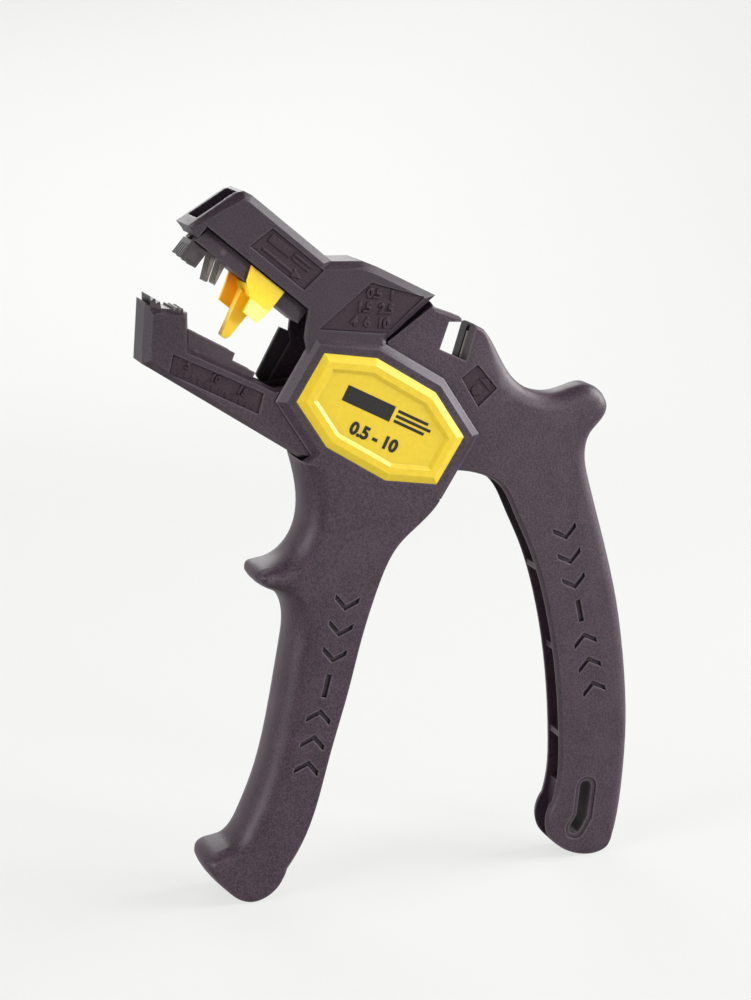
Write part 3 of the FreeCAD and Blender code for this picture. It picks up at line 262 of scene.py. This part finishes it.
def moulded_yellow(name, deep, bright, shaded, glow):
    material, tree = new_material(name)
    place = add_node(tree, "ShaderNodeTexCoord").outputs["Object"]
    peel = add_node(tree, "ShaderNodeTexNoise", {"Vector": place, "Scale": 1 / YELLOW_PEEL, "Detail": 3.0,
                                                 "Roughness": 0.55}).outputs["Fac"]
    colour = two_tones(tree, peel, low=0.25, dark=deep, high=0.75, light=bright)
    # Painted light and shade: sheltered sides take the shaded colour.
    air = add_node(tree, "ShaderNodeAmbientOcclusion", {"Distance": YELLOW_SHELTER},
                   samples=OCCLUSION_SAMPLES)
    shelter = add_node(tree, "ShaderNodeMapRange", {"Value": air.outputs["AO"], "From Min": 0.85,
                                                    "From Max": 0.45})
    painted_shelter_colour = add_node(tree, "ShaderNodeMix", {MIX_FACTOR: shelter.outputs["Result"], MIX_A: colour,
                                              MIX_B: linear(shaded)}, data_type="RGBA")
    rough = add_node(tree, "ShaderNodeMapRange", {"Value": peel, "To Min": 0.3, "To Max": 0.42})
    edge = add_node(tree, "ShaderNodeBevel", {"Radius": YELLOW_EDGE}, samples=SHADING_SAMPLES)
    bump = add_node(tree, "ShaderNodeBump", {"Height": peel, "Strength": 0.1, "Distance": PEEL_DEPTH,
                                             "Normal": edge.outputs["Normal"]})
    shader = add_node(tree, "ShaderNodeBsdfPrincipled", {"Base Color": painted_shelter_colour.outputs[MIX_COLOUR],
                                                         "Roughness": rough.outputs["Result"],
                                                         "IOR": YELLOW_IOR, "Subsurface Weight": glow,
                                                         "Subsurface Radius": GLOW_COLOUR,
                                                         "Subsurface Scale": GLOW_REACH,
                                                         "Normal": bump.outputs["Normal"]})
    add_node(tree, "ShaderNodeOutputMaterial", {"Surface": shader.outputs["BSDF"]})
    return material


# The badge's dark shaded colour is painted shade along its seat in the hub.
badge_abs = moulded_yellow("yellow_abs", "#c8aa11", "#d1b619", "#6a5012", glow=0.2)
# The stop's orange shaded colour is painted bounce light.
stop_acetal = moulded_yellow("yellow_acetal", "#f0cc1a", "#f7d62a", "#ffb000", glow=0.7)
print("yellow finishes:", badge_abs.name, stop_acetal.name)

# %% [markdown]
# The metal pieces differ in how they were finished. Blades are ground, so they glint in fine streaks;
# clamping blocks are blackened in a hot salt bath and nearly matt; pins are turned and bright; spring wire
# is drawn and carries a soft line of light; the bush is sintered bronze, dull and brown. One recipe covers
# them: noise that is stretched along the tool marks drives colour, roughness and bump, and their values set
# them apart. Real marks are a few hundredths of a millimetre wide; they are drawn at 0.25 mm so that they
# show.

# %% Steels and bearing bronze
MARK_LENGTH = 4.0 * MM
MARK_WIDTH = 0.25 * MM
MARK_DEPTH = 0.02 * MM
METAL_EDGE = 0.1 * MM


def worked_metal(name, dark, light, smooth, dull):
    material, tree = new_material(name)
    place = add_node(tree, "ShaderNodeTexCoord").outputs["Object"]
    per_mark = (1 / MARK_LENGTH, 1 / MARK_WIDTH, 1 / MARK_LENGTH)
    stretch = add_node(tree, "ShaderNodeMapping", {"Vector": place, "Scale": per_mark})
    marks = add_node(tree, "ShaderNodeTexNoise", {"Vector": stretch.outputs["Vector"], "Scale": 1.0,
                                                  "Detail": 3.0}).outputs["Fac"]
    colour = two_tones(tree, marks, low=0.3, dark=dark, high=0.7, light=light)
    rough = add_node(tree, "ShaderNodeMapRange", {"Value": marks, "To Min": smooth, "To Max": dull})
    edge = add_node(tree, "ShaderNodeBevel", {"Radius": METAL_EDGE}, samples=SHADING_SAMPLES)
    bump = add_node(tree, "ShaderNodeBump", {"Height": marks, "Strength": 0.15, "Distance": MARK_DEPTH,
                                             "Normal": edge.outputs["Normal"]})
    shader = add_node(tree, "ShaderNodeBsdfPrincipled", {"Base Color": colour, "Metallic": 1.0,
                                                         "Roughness": rough.outputs["Result"],
                                                         "Normal": bump.outputs["Normal"]})
    add_node(tree, "ShaderNodeOutputMaterial", {"Surface": shader.outputs["BSDF"]})
    return material


ground_steel = worked_metal("ground_spring_steel", "#544b47", "#7d746e", smooth=0.25, dull=0.42)
black_steel = worked_metal("blackened_tool_steel", "#3a3436", "#4c4648", smooth=0.38, dull=0.55)
turned_steel = worked_metal("turned_steel", "#9a9894", "#b8b6b2", smooth=0.2, dull=0.34)
spring_wire = worked_metal("drawn_spring_wire", "#6f6c69", "#8a8783", smooth=0.25, dull=0.4)
bearing_bronze = worked_metal("sintered_bronze", "#8a6a3c", "#a5834e", smooth=0.4, dull=0.55)
print("metals:", [m.name for m in (ground_steel, black_steel, turned_steel, spring_wire, bearing_bronze)])

# %% [markdown]
# A CAD mesh comes in small flat facets where the real piece is rounded. Subdividing it would change its
# shape, so a modifier only joins the facets, shades them smooth across shallow angles and keeps the real
# edges sharp. It is a small group of geometry nodes, because those work on the loaded mesh without changing
# it.

# %% Smooth across the facets
WELD = 0.001 * MM
smoothing = bpy.data.node_groups.new("smooth_across_facets", "GeometryNodeTree")
smoothing.interface.new_socket("Geometry", in_out="INPUT", socket_type="NodeSocketGeometry")
smoothing.interface.new_socket("Geometry", in_out="OUTPUT", socket_type="NodeSocketGeometry")
limit = smoothing.interface.new_socket("Sharp Angle", in_out="INPUT", socket_type="NodeSocketFloat")
source = add_node(smoothing, "NodeGroupInput")
welded = add_node(smoothing, "GeometryNodeMergeByDistance", {"Geometry": source.outputs["Geometry"],
                                                             "Distance": WELD})
bare = add_node(smoothing, "GeometryNodeRemoveAttribute", {"Geometry": welded.outputs["Geometry"],
                                                           "Name": "custom_normal"})
faces = add_node(smoothing, "GeometryNodeSetShadeSmooth", {"Geometry": bare.outputs["Geometry"],
                                                           "Shade Smooth": True}, domain="FACE")
angle = add_node(smoothing, "GeometryNodeInputMeshEdgeAngle")
sharp = add_node(smoothing, "ShaderNodeMath", {0: angle.outputs["Unsigned Angle"],
                                               1: source.outputs["Sharp Angle"]}, operation="GREATER_THAN")
edges = add_node(smoothing, "GeometryNodeSetShadeSmooth", {"Geometry": faces.outputs["Geometry"],
                                                           "Selection": sharp.outputs["Value"],
                                                           "Shade Smooth": False}, domain="EDGE")
add_node(smoothing, "NodeGroupOutput", {"Geometry": edges.outputs["Geometry"]})
print("smoothing group:", len(smoothing.nodes), "nodes")

# %% [markdown]
# Each CAD piece now gets its finish and the smoothing. The rounded rims step by about 30 degrees, so the
# limit lies above that. Weighting the normals by area then keeps the flat faces flat right up to their
# rims. The badge has only flat bevels, so there every edge stays sharp.

# %% Finish the CAD pieces
SHARP_ANGLE = math.radians(42)
SHARP_ANGLES = {"badge": math.radians(8)}
FINISHES = {
    head_shaded_nylon: ("front_lever", "lower_jaw"),
    body_nylon: ("rear_lever",),
    lit_slide_nylon: ("upper_carriage", "lower_carriage"),
    badge_abs: ("badge",),
    stop_acetal: ("length_stop",),
    ground_steel: ("upper_blades", "lower_blades", "cutter_blade"),
    black_steel: ("upper_clamp", "lower_clamp"),
    turned_steel: ("pivot_pin", "pivot_washers", "traction_pin", "traction_roller", "upper_blade_pin",
                   "lower_blade_pin"),
    spring_wire: ("pivot_retaining_ring", "return_spring", "jaw_spring"),
    bearing_bronze: ("pivot_bush",),
}
for material, names in FINISHES.items():
    for name in names:
        mesh = nodes[name].data
        mesh.materials.clear()
        mesh.materials.append(material)
        smooth = nodes[name].modifiers.new("smooth_across_facets", "NODES")
        smooth.node_group = smoothing
        smooth[limit.identifier] = SHARP_ANGLES.get(name, SHARP_ANGLE)
        weighted = nodes[name].modifiers.new("flat_faces_stay_flat", "WEIGHTED_NORMAL")
        weighted.keep_sharp = True
print("finished:", sum(len(names) for names in FINISHES.values()), "of", len(nodes))

# %% [markdown]
# The mould leaves raised figures and signs in the sunk panels, and the badge is pad printed. All of these are
# flat shapes with a little height. A bump map could fake them, but it would vanish from the side, so they are
# real. One function turns a line of figures into a mesh, through Blender's own font, and another turns an
# outline into one, with the slight draft that lets it leave a mould. Outlines and places are in plain
# millimetres; heights and thicknesses carry MM.

# %% Shapes for figures and signs
FIGURE_BEVEL = 0.06 * MM
FIGURE_CURVE_STEPS = 4
DRAFT = 0.05 * MM


def figures(text, size, weight, rise):
    curve = bpy.data.curves.new("figures", "FONT")
    curve.body = text
    curve.size = size
    curve.offset = weight
    curve.extrude = rise / 2
    curve.bevel_depth = FIGURE_BEVEL
    curve.resolution_u = FIGURE_CURVE_STEPS
    curve.align_x = "CENTER"
    curve.align_y = "CENTER"
    holder = bpy.data.objects.new("figures", curve)
    bpy.context.scene.collection.objects.link(holder)
    mesh = bpy.data.meshes.new_from_object(holder.evaluated_get(bpy.context.evaluated_depsgraph_get()))
    bpy.data.objects.remove(holder)
    return mesh


def solid_outline(outline, rise):
    middle = sum((Vector(point) for point in outline), Vector((0, 0))) / len(outline)
    low = [(x * MM, y * MM, -rise / 2) for x, y in outline]
    high = []
    for point in outline:
        inward = (middle - Vector(point)).normalized() * DRAFT
        high.append((point[0] * MM + inward.x, point[1] * MM + inward.y, rise / 2))
    count = len(outline)
    sides = [(i, (i + 1) % count, count + (i + 1) % count, count + i) for i in range(count)]
    top = tuple(range(count, 2 * count))
    bottom = tuple(reversed(range(count)))
    mesh = bpy.data.meshes.new("outline")
    mesh.from_pydata(low + high, [], sides + [top, bottom])
    return mesh


def bar(x0, y0, x1, y1):
    return [(x0, y0), (x1, y0), (x1, y1), (x0, y1)]


print("figures are bevelled by", FIGURE_BEVEL / MM, "mm, outlines drafted by", DRAFT / MM, "mm")

# %% [markdown]
# A sign belongs to a face that looks along -Y, so it only needs a middle, a tilt and a depth, which is how
# far the face lies from the tool's middle plane. Places are measured from the main pin, whose own place is
# in the frame. All shapes of one panel become one piece, which rides on the body that carries the panel, so
# that it moves with it.

# %% Set shapes on a face
PIVOT = Vector([round(v / MM, 3) for v in joints["handle_squeeze"]["pos_m"]])
SINK = 0.06 * MM


def on_face(point, tilt, depth, rise):
    turn = math.radians(tilt)
    axes = Matrix(((math.cos(turn), -math.sin(turn), 0, 0), (0, 0, -1, 0),
                   (math.sin(turn), math.cos(turn), 0, 0), (0, 0, 0, 1)))
    middle = Vector(((PIVOT.x + point[0]) * MM, -depth * MM + SINK - rise / 2, (PIVOT.z + point[1]) * MM))
    return Matrix.Translation(middle) @ axes


def sign(name, body, material, shapes, tilt, depth, rise):
    joined = bmesh.new()
    for mesh, point in shapes:
        mesh.transform(on_face(point, tilt, depth, rise))
        joined.from_mesh(mesh)
        bpy.data.meshes.remove(mesh)
    mesh = bpy.data.meshes.new(name)
    joined.to_mesh(mesh)
    joined.free()
    mesh.materials.append(material)
    piece = bpy.data.objects.new(name, mesh)
    bpy.context.scene.collection.objects.link(piece)
    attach(piece, body)
    print(name, len(mesh.polygons), "faces")
    return piece


print("main pin at", list(PIVOT), "mm")

# %% [markdown]
# The floors of the sunk panels are left rough in the mould, so that the signs stand out. Each panel gets a
# thin floor of the same dull, darker finish, a little smaller than the panel; its darker colour is painted
# shade in the sunk panel. On the jaws it is easier to say how far out along the jaw a point is and how far
# above its line, and the slides' joints give the direction of that line.

# %% Panels
RELIEF = 0.42 * MM
PANEL_SKIN = 0.12 * MM
PANEL_GAP = 0.25


def tilt_of(joint):
    axis = joints[joint]["axis"]
    return round(math.degrees(math.atan2(axis[2], axis[0])), 2)


def along(tilt, reach, above):
    turn = math.radians(tilt)
    return (-reach * math.cos(turn) - above * math.sin(turn),
            -reach * math.sin(turn) + above * math.cos(turn))


# A thin darker skin that paints the shade in the sunk panel.
def shaded_panel_floor(tilt, corners):
    turn = Matrix.Rotation(-math.radians(tilt), 2)
    flat = [turn @ Vector(corner) for corner in corners]
    middle = sum(flat, Vector((0, 0))) / len(flat)
    inset = [tuple(point + (middle - point).normalized() * PANEL_GAP) for point in flat]
    mesh = solid_outline(inset, PANEL_SKIN)
    mesh.transform(Matrix.Translation((0, 0, (PANEL_SKIN - RELIEF) / 2)))
    return (mesh, (0, 0))


UPPER_TILT = tilt_of("upper_draw")
LOWER_TILT = tilt_of("lower_draw")
print("jaws tilt by", UPPER_TILT, "and", LOWER_TILT, "degrees")

# %% [markdown]
# The upper jaw's panel shows a wire being stripped: the sheath, two strands and an arrow for the pull. The
# hump behind it lists wire sizes in three rows, which follow the slope of its panel.

# %% Signs of the upper jaw and the hump
UPPER_FACE = 7.5
WIRE_MIDDLE = (46.6, 18.5)
ARROW_MIDDLE = (46.9, 15.1)
JAW_PANEL = ((56.4, 13.5), (37.9, 13.5), (36.9, 20.6), (54.6, 20.6))
wire = [bar(-7.0, -1.1, 0.2, 1.1), bar(0.9, 0.35, 6.6, 0.85), bar(0.9, -0.85, 6.6, -0.35)]
arrow = [bar(-6.6, -0.3, 3.6, 0.3), [(3.6, -1.2), (6.4, 0.0), (3.6, 1.2)]]
jaw_shapes = [(solid_outline(o, RELIEF), along(UPPER_TILT, *WIRE_MIDDLE)) for o in wire]
jaw_shapes += [(solid_outline(o, RELIEF), along(UPPER_TILT, *ARROW_MIDDLE)) for o in arrow]
jaw_shapes.append(shaded_panel_floor(UPPER_TILT, [along(UPPER_TILT, *corner) for corner in JAW_PANEL]))
sign("upper_jaw_sign", "front_body", shaded_sign_nylon, jaw_shapes, UPPER_TILT, UPPER_FACE, RELIEF)

HUMP_TILT = -7
HUMP_PANEL = [(-16.4, 24.4), (2.0, 22.3), (12.3, 31.4), (-2.2, 35.8)]
WIRE_SIZES = [("0.5  1", (0.4, 32.6)), ("1.5  2.5", (-1.2, 29.0)), ("4  6  10", (-2.6, 25.4))]
SIZE_HEIGHT = 3.4 * MM
SIZE_WEIGHT = 0.12 * MM
hump_shapes = [(figures(text, SIZE_HEIGHT, SIZE_WEIGHT, RELIEF), middle) for text, middle in WIRE_SIZES]
hump_shapes.append(shaded_panel_floor(HUMP_TILT, HUMP_PANEL))
sign("hump_sizes", "front_body", shaded_sign_nylon, hump_shapes, HUMP_TILT, UPPER_FACE, RELIEF)

# %% [markdown]
# The lower jaw carries a length scale: twelve even ticks, each fourth one longer and with a figure above
# it. A loop sets them, so that the pitch is written once.

# %% Scale of the lower jaw
LOWER_FACE = 6.1
SCALE_STEPS = 12
SCALE_PITCH = 2
FIGURE_EVERY = 4
FIGURE_STEP = 5
TICK_HALF = 0.25
LONG_TICK = 2.0
SHORT_TICK = 1.2
TICKS_FROM = 54.2
TICKS_LINE = -12.2
FIGURES_FROM = 52.6
FIGURES_LINE = -9.2
FIGURE_HEIGHT = 2.8 * MM
FIGURE_WEIGHT = 0.1 * MM
SCALE_PANEL = ((56.3, -13.0), (30.0, -12.6), (31.2, -7.2), (57.5, -8.2))
scale_shapes = []
for step in range(SCALE_STEPS):
    has_figure = step % FIGURE_EVERY == 0
    tick = bar(-TICK_HALF, 0, TICK_HALF, LONG_TICK if has_figure else SHORT_TICK)
    foot = along(LOWER_TILT, TICKS_FROM - SCALE_PITCH * step, TICKS_LINE)
    scale_shapes.append((solid_outline(tick, RELIEF), foot))
    if has_figure:
        text = str(FIGURE_STEP * (1 + step // FIGURE_EVERY))
        middle = along(LOWER_TILT, FIGURES_FROM - SCALE_PITCH * step, FIGURES_LINE)
        scale_shapes.append((figures(text, FIGURE_HEIGHT, FIGURE_WEIGHT, RELIEF), middle))
scale_shapes.append(shaded_panel_floor(LOWER_TILT, [along(LOWER_TILT, *corner) for corner in SCALE_PANEL]))
sign("lower_jaw_scale", "lower_jaw_body", shaded_sign_nylon, scale_shapes, LOWER_TILT, LOWER_FACE,
     RELIEF)

# %% [markdown]
# Beside the side cutter, the rear lever shows a wire's end and the blade's wedge above it. The round is
# made by a formula, so its size and its smoothness are one number each.

# %% Sign of the side cutter
REAR_FACE = 5.1
CUTTER_TILT = -50
CUTTER_PANEL = [(23.6, 9.0), (28.4, 0.9), (33.8, 5.6), (28.2, 12.3)]
WIRE_END_MIDDLE = (27.9, 5.4)
WIRE_END_RADIUS = 1.5
WIRE_END_POINTS = 24
WEDGE_MIDDLE = (28.6, 5.6)
turns = [math.radians(360 * i / WIRE_END_POINTS) for i in range(WIRE_END_POINTS)]
wire_end = [(WIRE_END_RADIUS * math.cos(turn), WIRE_END_RADIUS * math.sin(turn)) for turn in turns]
wedge = [(-2.4, 1.9), (2.4, 1.9), (0.0, 4.0)]
cutter_shapes = [(solid_outline(wire_end, RELIEF), WIRE_END_MIDDLE)]
cutter_shapes.append((solid_outline(wedge, RELIEF), WEDGE_MIDDLE))
cutter_shapes.append(shaded_panel_floor(CUTTER_TILT, CUTTER_PANEL))
sign("cutter_sign", "rear_handle", shaded_sign_nylon, cutter_shapes, CUTTER_TILT, REAR_FACE, RELIEF)

# %% [markdown]
# Pad-printing ink is a thin black film with a soft sheen, slightly mottled where the pad let go. It lies on
# the badge's sunk panel, so it gets the same tilt as the badge's long sides. It could be painted in the
# badge's material, but as a thin piece it has crisp rims at any distance. It shows a cable and a plain
# range of sizes.

# %% Badge print
INK_MOTTLE = 0.8 * MM
BADGE_FACE = 9.55
PRINT_TILT = -27
PRINT_RISE = 0.09 * MM
PRINT_HEIGHT = 4.6 * MM
PRINT_WEIGHT = 0.16 * MM
CABLE_MIDDLE = (1.6, 2.0)
RANGE_MIDDLE = (-2.2, -4.6)
ink, tree = new_material("pad_printing_ink")
place = add_node(tree, "ShaderNodeTexCoord").outputs["Object"]
mottle = add_node(tree, "ShaderNodeTexNoise", {"Vector": place, "Scale": 1 / INK_MOTTLE})
shade = two_tones(tree, mottle.outputs["Fac"], low=0.3, dark="#141112", high=0.7, light="#201b1c")
shader = add_node(tree, "ShaderNodeBsdfPrincipled", {"Base Color": shade, "Roughness": 0.6, "IOR": 1.45,
                                                     "Specular IOR Level": 0.3})
add_node(tree, "ShaderNodeOutputMaterial", {"Surface": shader.outputs["BSDF"]})
cable = [bar(-13.0, -2.2, 1.6, 2.2), bar(2.6, 1.0, 12.0, 1.8), bar(2.6, -0.4, 13.4, 0.4),
         bar(2.6, -1.8, 12.0, -1.0)]
print_shapes = [(solid_outline(o, PRINT_RISE), CABLE_MIDDLE) for o in cable]
print_shapes.append((figures("0.5 - 10", PRINT_HEIGHT, PRINT_WEIGHT, PRINT_RISE), RANGE_MIDDLE))
sign("badge_print", "front_body", ink, print_shapes, PRINT_TILT, BADGE_FACE, PRINT_RISE)

# %% [markdown]
# Two coil springs work inside the hub: one opens the handles, the other lifts the lower jaw. Both are wound
# from drawn wire. A curve with a round bevel would do for the looks, but a mesh can be bent and shortened
# point by point, so the wire is made as rings of points along a helix, with a skin between them. Sizes are
# in plain millimetres, and places are measured from the main pin again.

# %% Wind a spring
WIRE_RADIUS = 0.55
WIRE_SIDES = 12
SPRING_TURNS = 4.5
TURN_STEPS = 24


def ring_quads(steps, sides):
    return [(ring * sides + side, (ring + 1) * sides + side, (ring + 1) * sides + (side + 1) % sides,
             ring * sides + (side + 1) % sides) for ring in range(steps) for side in range(sides)]


def wound_spring(name, across, foot, head, radius):
    stations = round(SPRING_TURNS * TURN_STEPS)
    points = []
    for station in range(stations + 1):
        turn = 2 * math.pi * station / TURN_STEPS
        height = foot + WIRE_RADIUS + (head - foot - 2 * WIRE_RADIUS) * station / stations
        for side in range(WIRE_SIDES):
            round_wire = 2 * math.pi * side / WIRE_SIDES
            reach = radius + WIRE_RADIUS * math.cos(round_wire)
            points.append(((PIVOT.x + across + reach * math.cos(turn)) * MM, reach * math.sin(turn) * MM,
                           (PIVOT.z + height + WIRE_RADIUS * math.sin(round_wire)) * MM))
    skin = ring_quads(stations, WIRE_SIDES)
    first_end = tuple(range(WIRE_SIDES))
    last_end = tuple(reversed(range(stations * WIRE_SIDES, (stations + 1) * WIRE_SIDES)))
    mesh = bpy.data.meshes.new(name)
    mesh.from_pydata(points, [], skin + [first_end, last_end])
    mesh.polygons.foreach_set("use_smooth", [True] * len(skin) + [False, False])
    mesh.materials.append(spring_wire)
    spring = bpy.data.objects.new(name, mesh)
    bpy.context.scene.collection.objects.link(spring)
    print(name, len(mesh.polygons), "faces")
    return spring


print("spring wire is", 2 * WIRE_RADIUS, "mm thick")

# %% [markdown]
# A stiff spring would be cut by the lever that presses on it. Each of these stands for its CAD node: the
# first is set in place, and the second rides on the lower jaw.

# %% Coil springs
OPENER_ACROSS = 8.0
OPENER_FOOT = -27.0
OPENER_HEAD = -14.6
LIFTER_ACROSS = -18.4
LIFTER_FOOT = -6.2
LIFTER_HEAD = 5.6


opener = wound_spring("opening_coil", OPENER_ACROSS, OPENER_FOOT, OPENER_HEAD, radius=2.2)
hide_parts("return_spring")
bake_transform(opener)
lifter = wound_spring("jaw_coil", LIFTER_ACROSS, LIFTER_FOOT, LIFTER_HEAD, radius=1.7)
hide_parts("jaw_spring")
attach(lifter, "lower_jaw_body")
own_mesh(lifter)

# %% [markdown]
# The photograph was taken in a white studio. Here the floor and the backdrop are one paper cove that goes
# all the way round the tool and is swept up in a curve, so that no horizon shows from any side. A profile
# of floor rim, quarter round and wall is turned about the upright axis, and the floor closes it.

# %% Paper cove
COVE_SIDES = 96
FLOOR_RADIUS = 0.75
SWEEP_RADIUS = 0.5
SWEEP_STEPS = 24
COVE_TOP = 2.2
profile = [(FLOOR_RADIUS, 0.0)]
for step in range(1, SWEEP_STEPS + 1):
    bend = math.pi / 2 * step / SWEEP_STEPS
    profile.append((FLOOR_RADIUS + SWEEP_RADIUS * math.sin(bend), SWEEP_RADIUS * (1 - math.cos(bend))))
profile.append((FLOOR_RADIUS + SWEEP_RADIUS, COVE_TOP))
turns = [2 * math.pi * side / COVE_SIDES for side in range(COVE_SIDES)]
cove_points = [(radius * math.cos(turn), radius * math.sin(turn), height)
               for radius, height in profile for turn in turns]
floor = tuple(range(COVE_SIDES))
cove_mesh = bpy.data.meshes.new("studio_cove")
cove_mesh.from_pydata(cove_points, [], ring_quads(len(profile) - 1, COVE_SIDES) + [floor])
cove_mesh.polygons.foreach_set("use_smooth", [True] * len(cove_mesh.polygons))
cove = bpy.data.objects.new("studio_cove", cove_mesh)
bpy.context.scene.collection.objects.link(cove)
print("cove:", len(cove_mesh.polygons), "faces")

# %% [markdown]
# Seen directly or in a reflection, the matt paper is burnt out almost evenly, so most of what the camera sees
# of it is a steady white; the rest is real light, which keeps the tool's soft shadow. More light on the paper
# would burn out the tool too. The rear handle swings 15 mm lower than the front foot when it is squeezed, as
# if in a hand above the table.

# %% Matt paper
STEADY_SHARE = 0.7
paper, tree = new_material("matt_paper")
real = add_node(tree, "ShaderNodeBsdfDiffuse", {"Color": linear("#b4b4b3")})
steady = add_node(tree, "ShaderNodeEmission", {"Color": linear("#fdfdfc"), "Strength": 1.0})
path = add_node(tree, "ShaderNodeLightPath")
mirrored = add_node(tree, "ShaderNodeMath", {0: path.outputs["Is Glossy Ray"],
                                             1: path.outputs["Is Transmission Ray"]}, operation="MAXIMUM")
watched = add_node(tree, "ShaderNodeMath", {0: path.outputs["Is Camera Ray"], 1: mirrored.outputs["Value"]},
                   operation="MAXIMUM")
share = add_node(tree, "ShaderNodeMapRange", {"Value": watched.outputs["Value"], "To Max": STEADY_SHARE})
seen = add_node(tree, "ShaderNodeMixShader", {0: share.outputs["Result"], 1: real.outputs["BSDF"],
                                              2: steady.outputs["Emission"]})
add_node(tree, "ShaderNodeOutputMaterial", {"Surface": seen.outputs["Shader"]})
cove_mesh.materials.append(paper)
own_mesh(cove)

# %% [markdown]
# The tool is lit by five softboxes inside the cove. A small key light with a grid, low at the front right,
# lights the near faces and fades towards the handles' feet. A large one on the right gives the upper
# chamfers their sheen, a low one on the left picks out the finger side, and one behind lights the far side.
# The last one lifts the foot of the backdrop. The world fills in from above.

# %% Light
CEILING_STRENGTH = 0.26
world = bpy.data.worlds.new("studio_ceiling")
bpy.context.scene.world = world
world.use_nodes = True
world.node_tree.nodes.clear()
sky = add_node(world.node_tree, "ShaderNodeBackground", {"Color": linear("#ffffff"),
                                                         "Strength": CEILING_STRENGTH})
add_node(world.node_tree, "ShaderNodeOutputWorld", {"Surface": sky.outputs["Background"]})


def softbox(name, place, target, size, power, spread=180):
    light = bpy.data.lights.new(name, "AREA")
    light.shape = "SQUARE"
    light.size = size
    light.energy = power
    light.spread = math.radians(spread)
    lamp = bpy.data.objects.new(name, light)
    lamp.location = place
    lamp.rotation_euler = (Vector(target) - Vector(place)).to_track_quat("-Z", "Y").to_euler()
    bpy.context.scene.collection.objects.link(lamp)
    return lamp


softbox("key_softbox", place=(0.55, -0.8, 0.28), target=(0.04, 0, 0.11), size=0.45, power=0.34, spread=22)
softbox("right_softbox", place=(1.02, -0.14, 0.5), target=(0, 0, 0.17), size=0.9, power=15.0, spread=110)
softbox("left_softbox", place=(-0.95, -0.3, 0.4), target=(-0.05, 0, 0.06), size=0.6, power=1.6, spread=60)
softbox("back_softbox", place=(0.1, 0.95, 0.6), target=(0, 0, 0.1), size=0.6, power=5.5)
softbox("backdrop_softbox", place=(0.2, 0.7, 0.7), target=(0.45, 1.2, 0.1), size=0.5, power=2.2, spread=120)

# %% [markdown]
# The camera stands a little to the left of the tool's face and slightly above it. Its distance and focal
# length come from the way the two handle ends and the jaws line up in the photograph.

# %% Camera
CAMERA_AZIMUTH = math.radians(-18.5)
CAMERA_ELEVATION = math.radians(13.3)
CAMERA_DISTANCE = 640 * MM
CAMERA_TARGET = Vector((-5.0 * MM, 0, 106.3 * MM))
FOCAL_PIXELS = 2400
IMAGE_HEIGHT = 1000
SENSOR_HEIGHT = 36
NEAREST_SEEN = 10 * MM
camera_data = bpy.data.cameras.new("camera")
camera_data.sensor_fit = "VERTICAL"
camera_data.sensor_height = SENSOR_HEIGHT
camera_data.lens = FOCAL_PIXELS * SENSOR_HEIGHT / IMAGE_HEIGHT
camera_data.clip_start = NEAREST_SEEN
camera = bpy.data.objects.new("camera", camera_data)
level = math.cos(CAMERA_ELEVATION)
back = Vector((math.sin(CAMERA_AZIMUTH) * level, -math.cos(CAMERA_AZIMUTH) * level,
               math.sin(CAMERA_ELEVATION)))
camera.location = CAMERA_TARGET + back * CAMERA_DISTANCE
camera.rotation_euler = (-back).to_track_quat("-Z", "Y").to_euler()
bpy.context.scene.collection.objects.link(camera)
bpy.context.scene.camera = camera
bpy.context.scene.view_settings.view_transform = "Standard"
print("camera at", [round(v / MM) for v in camera.location], "mm, lens", round(camera_data.lens, 1), "mm")
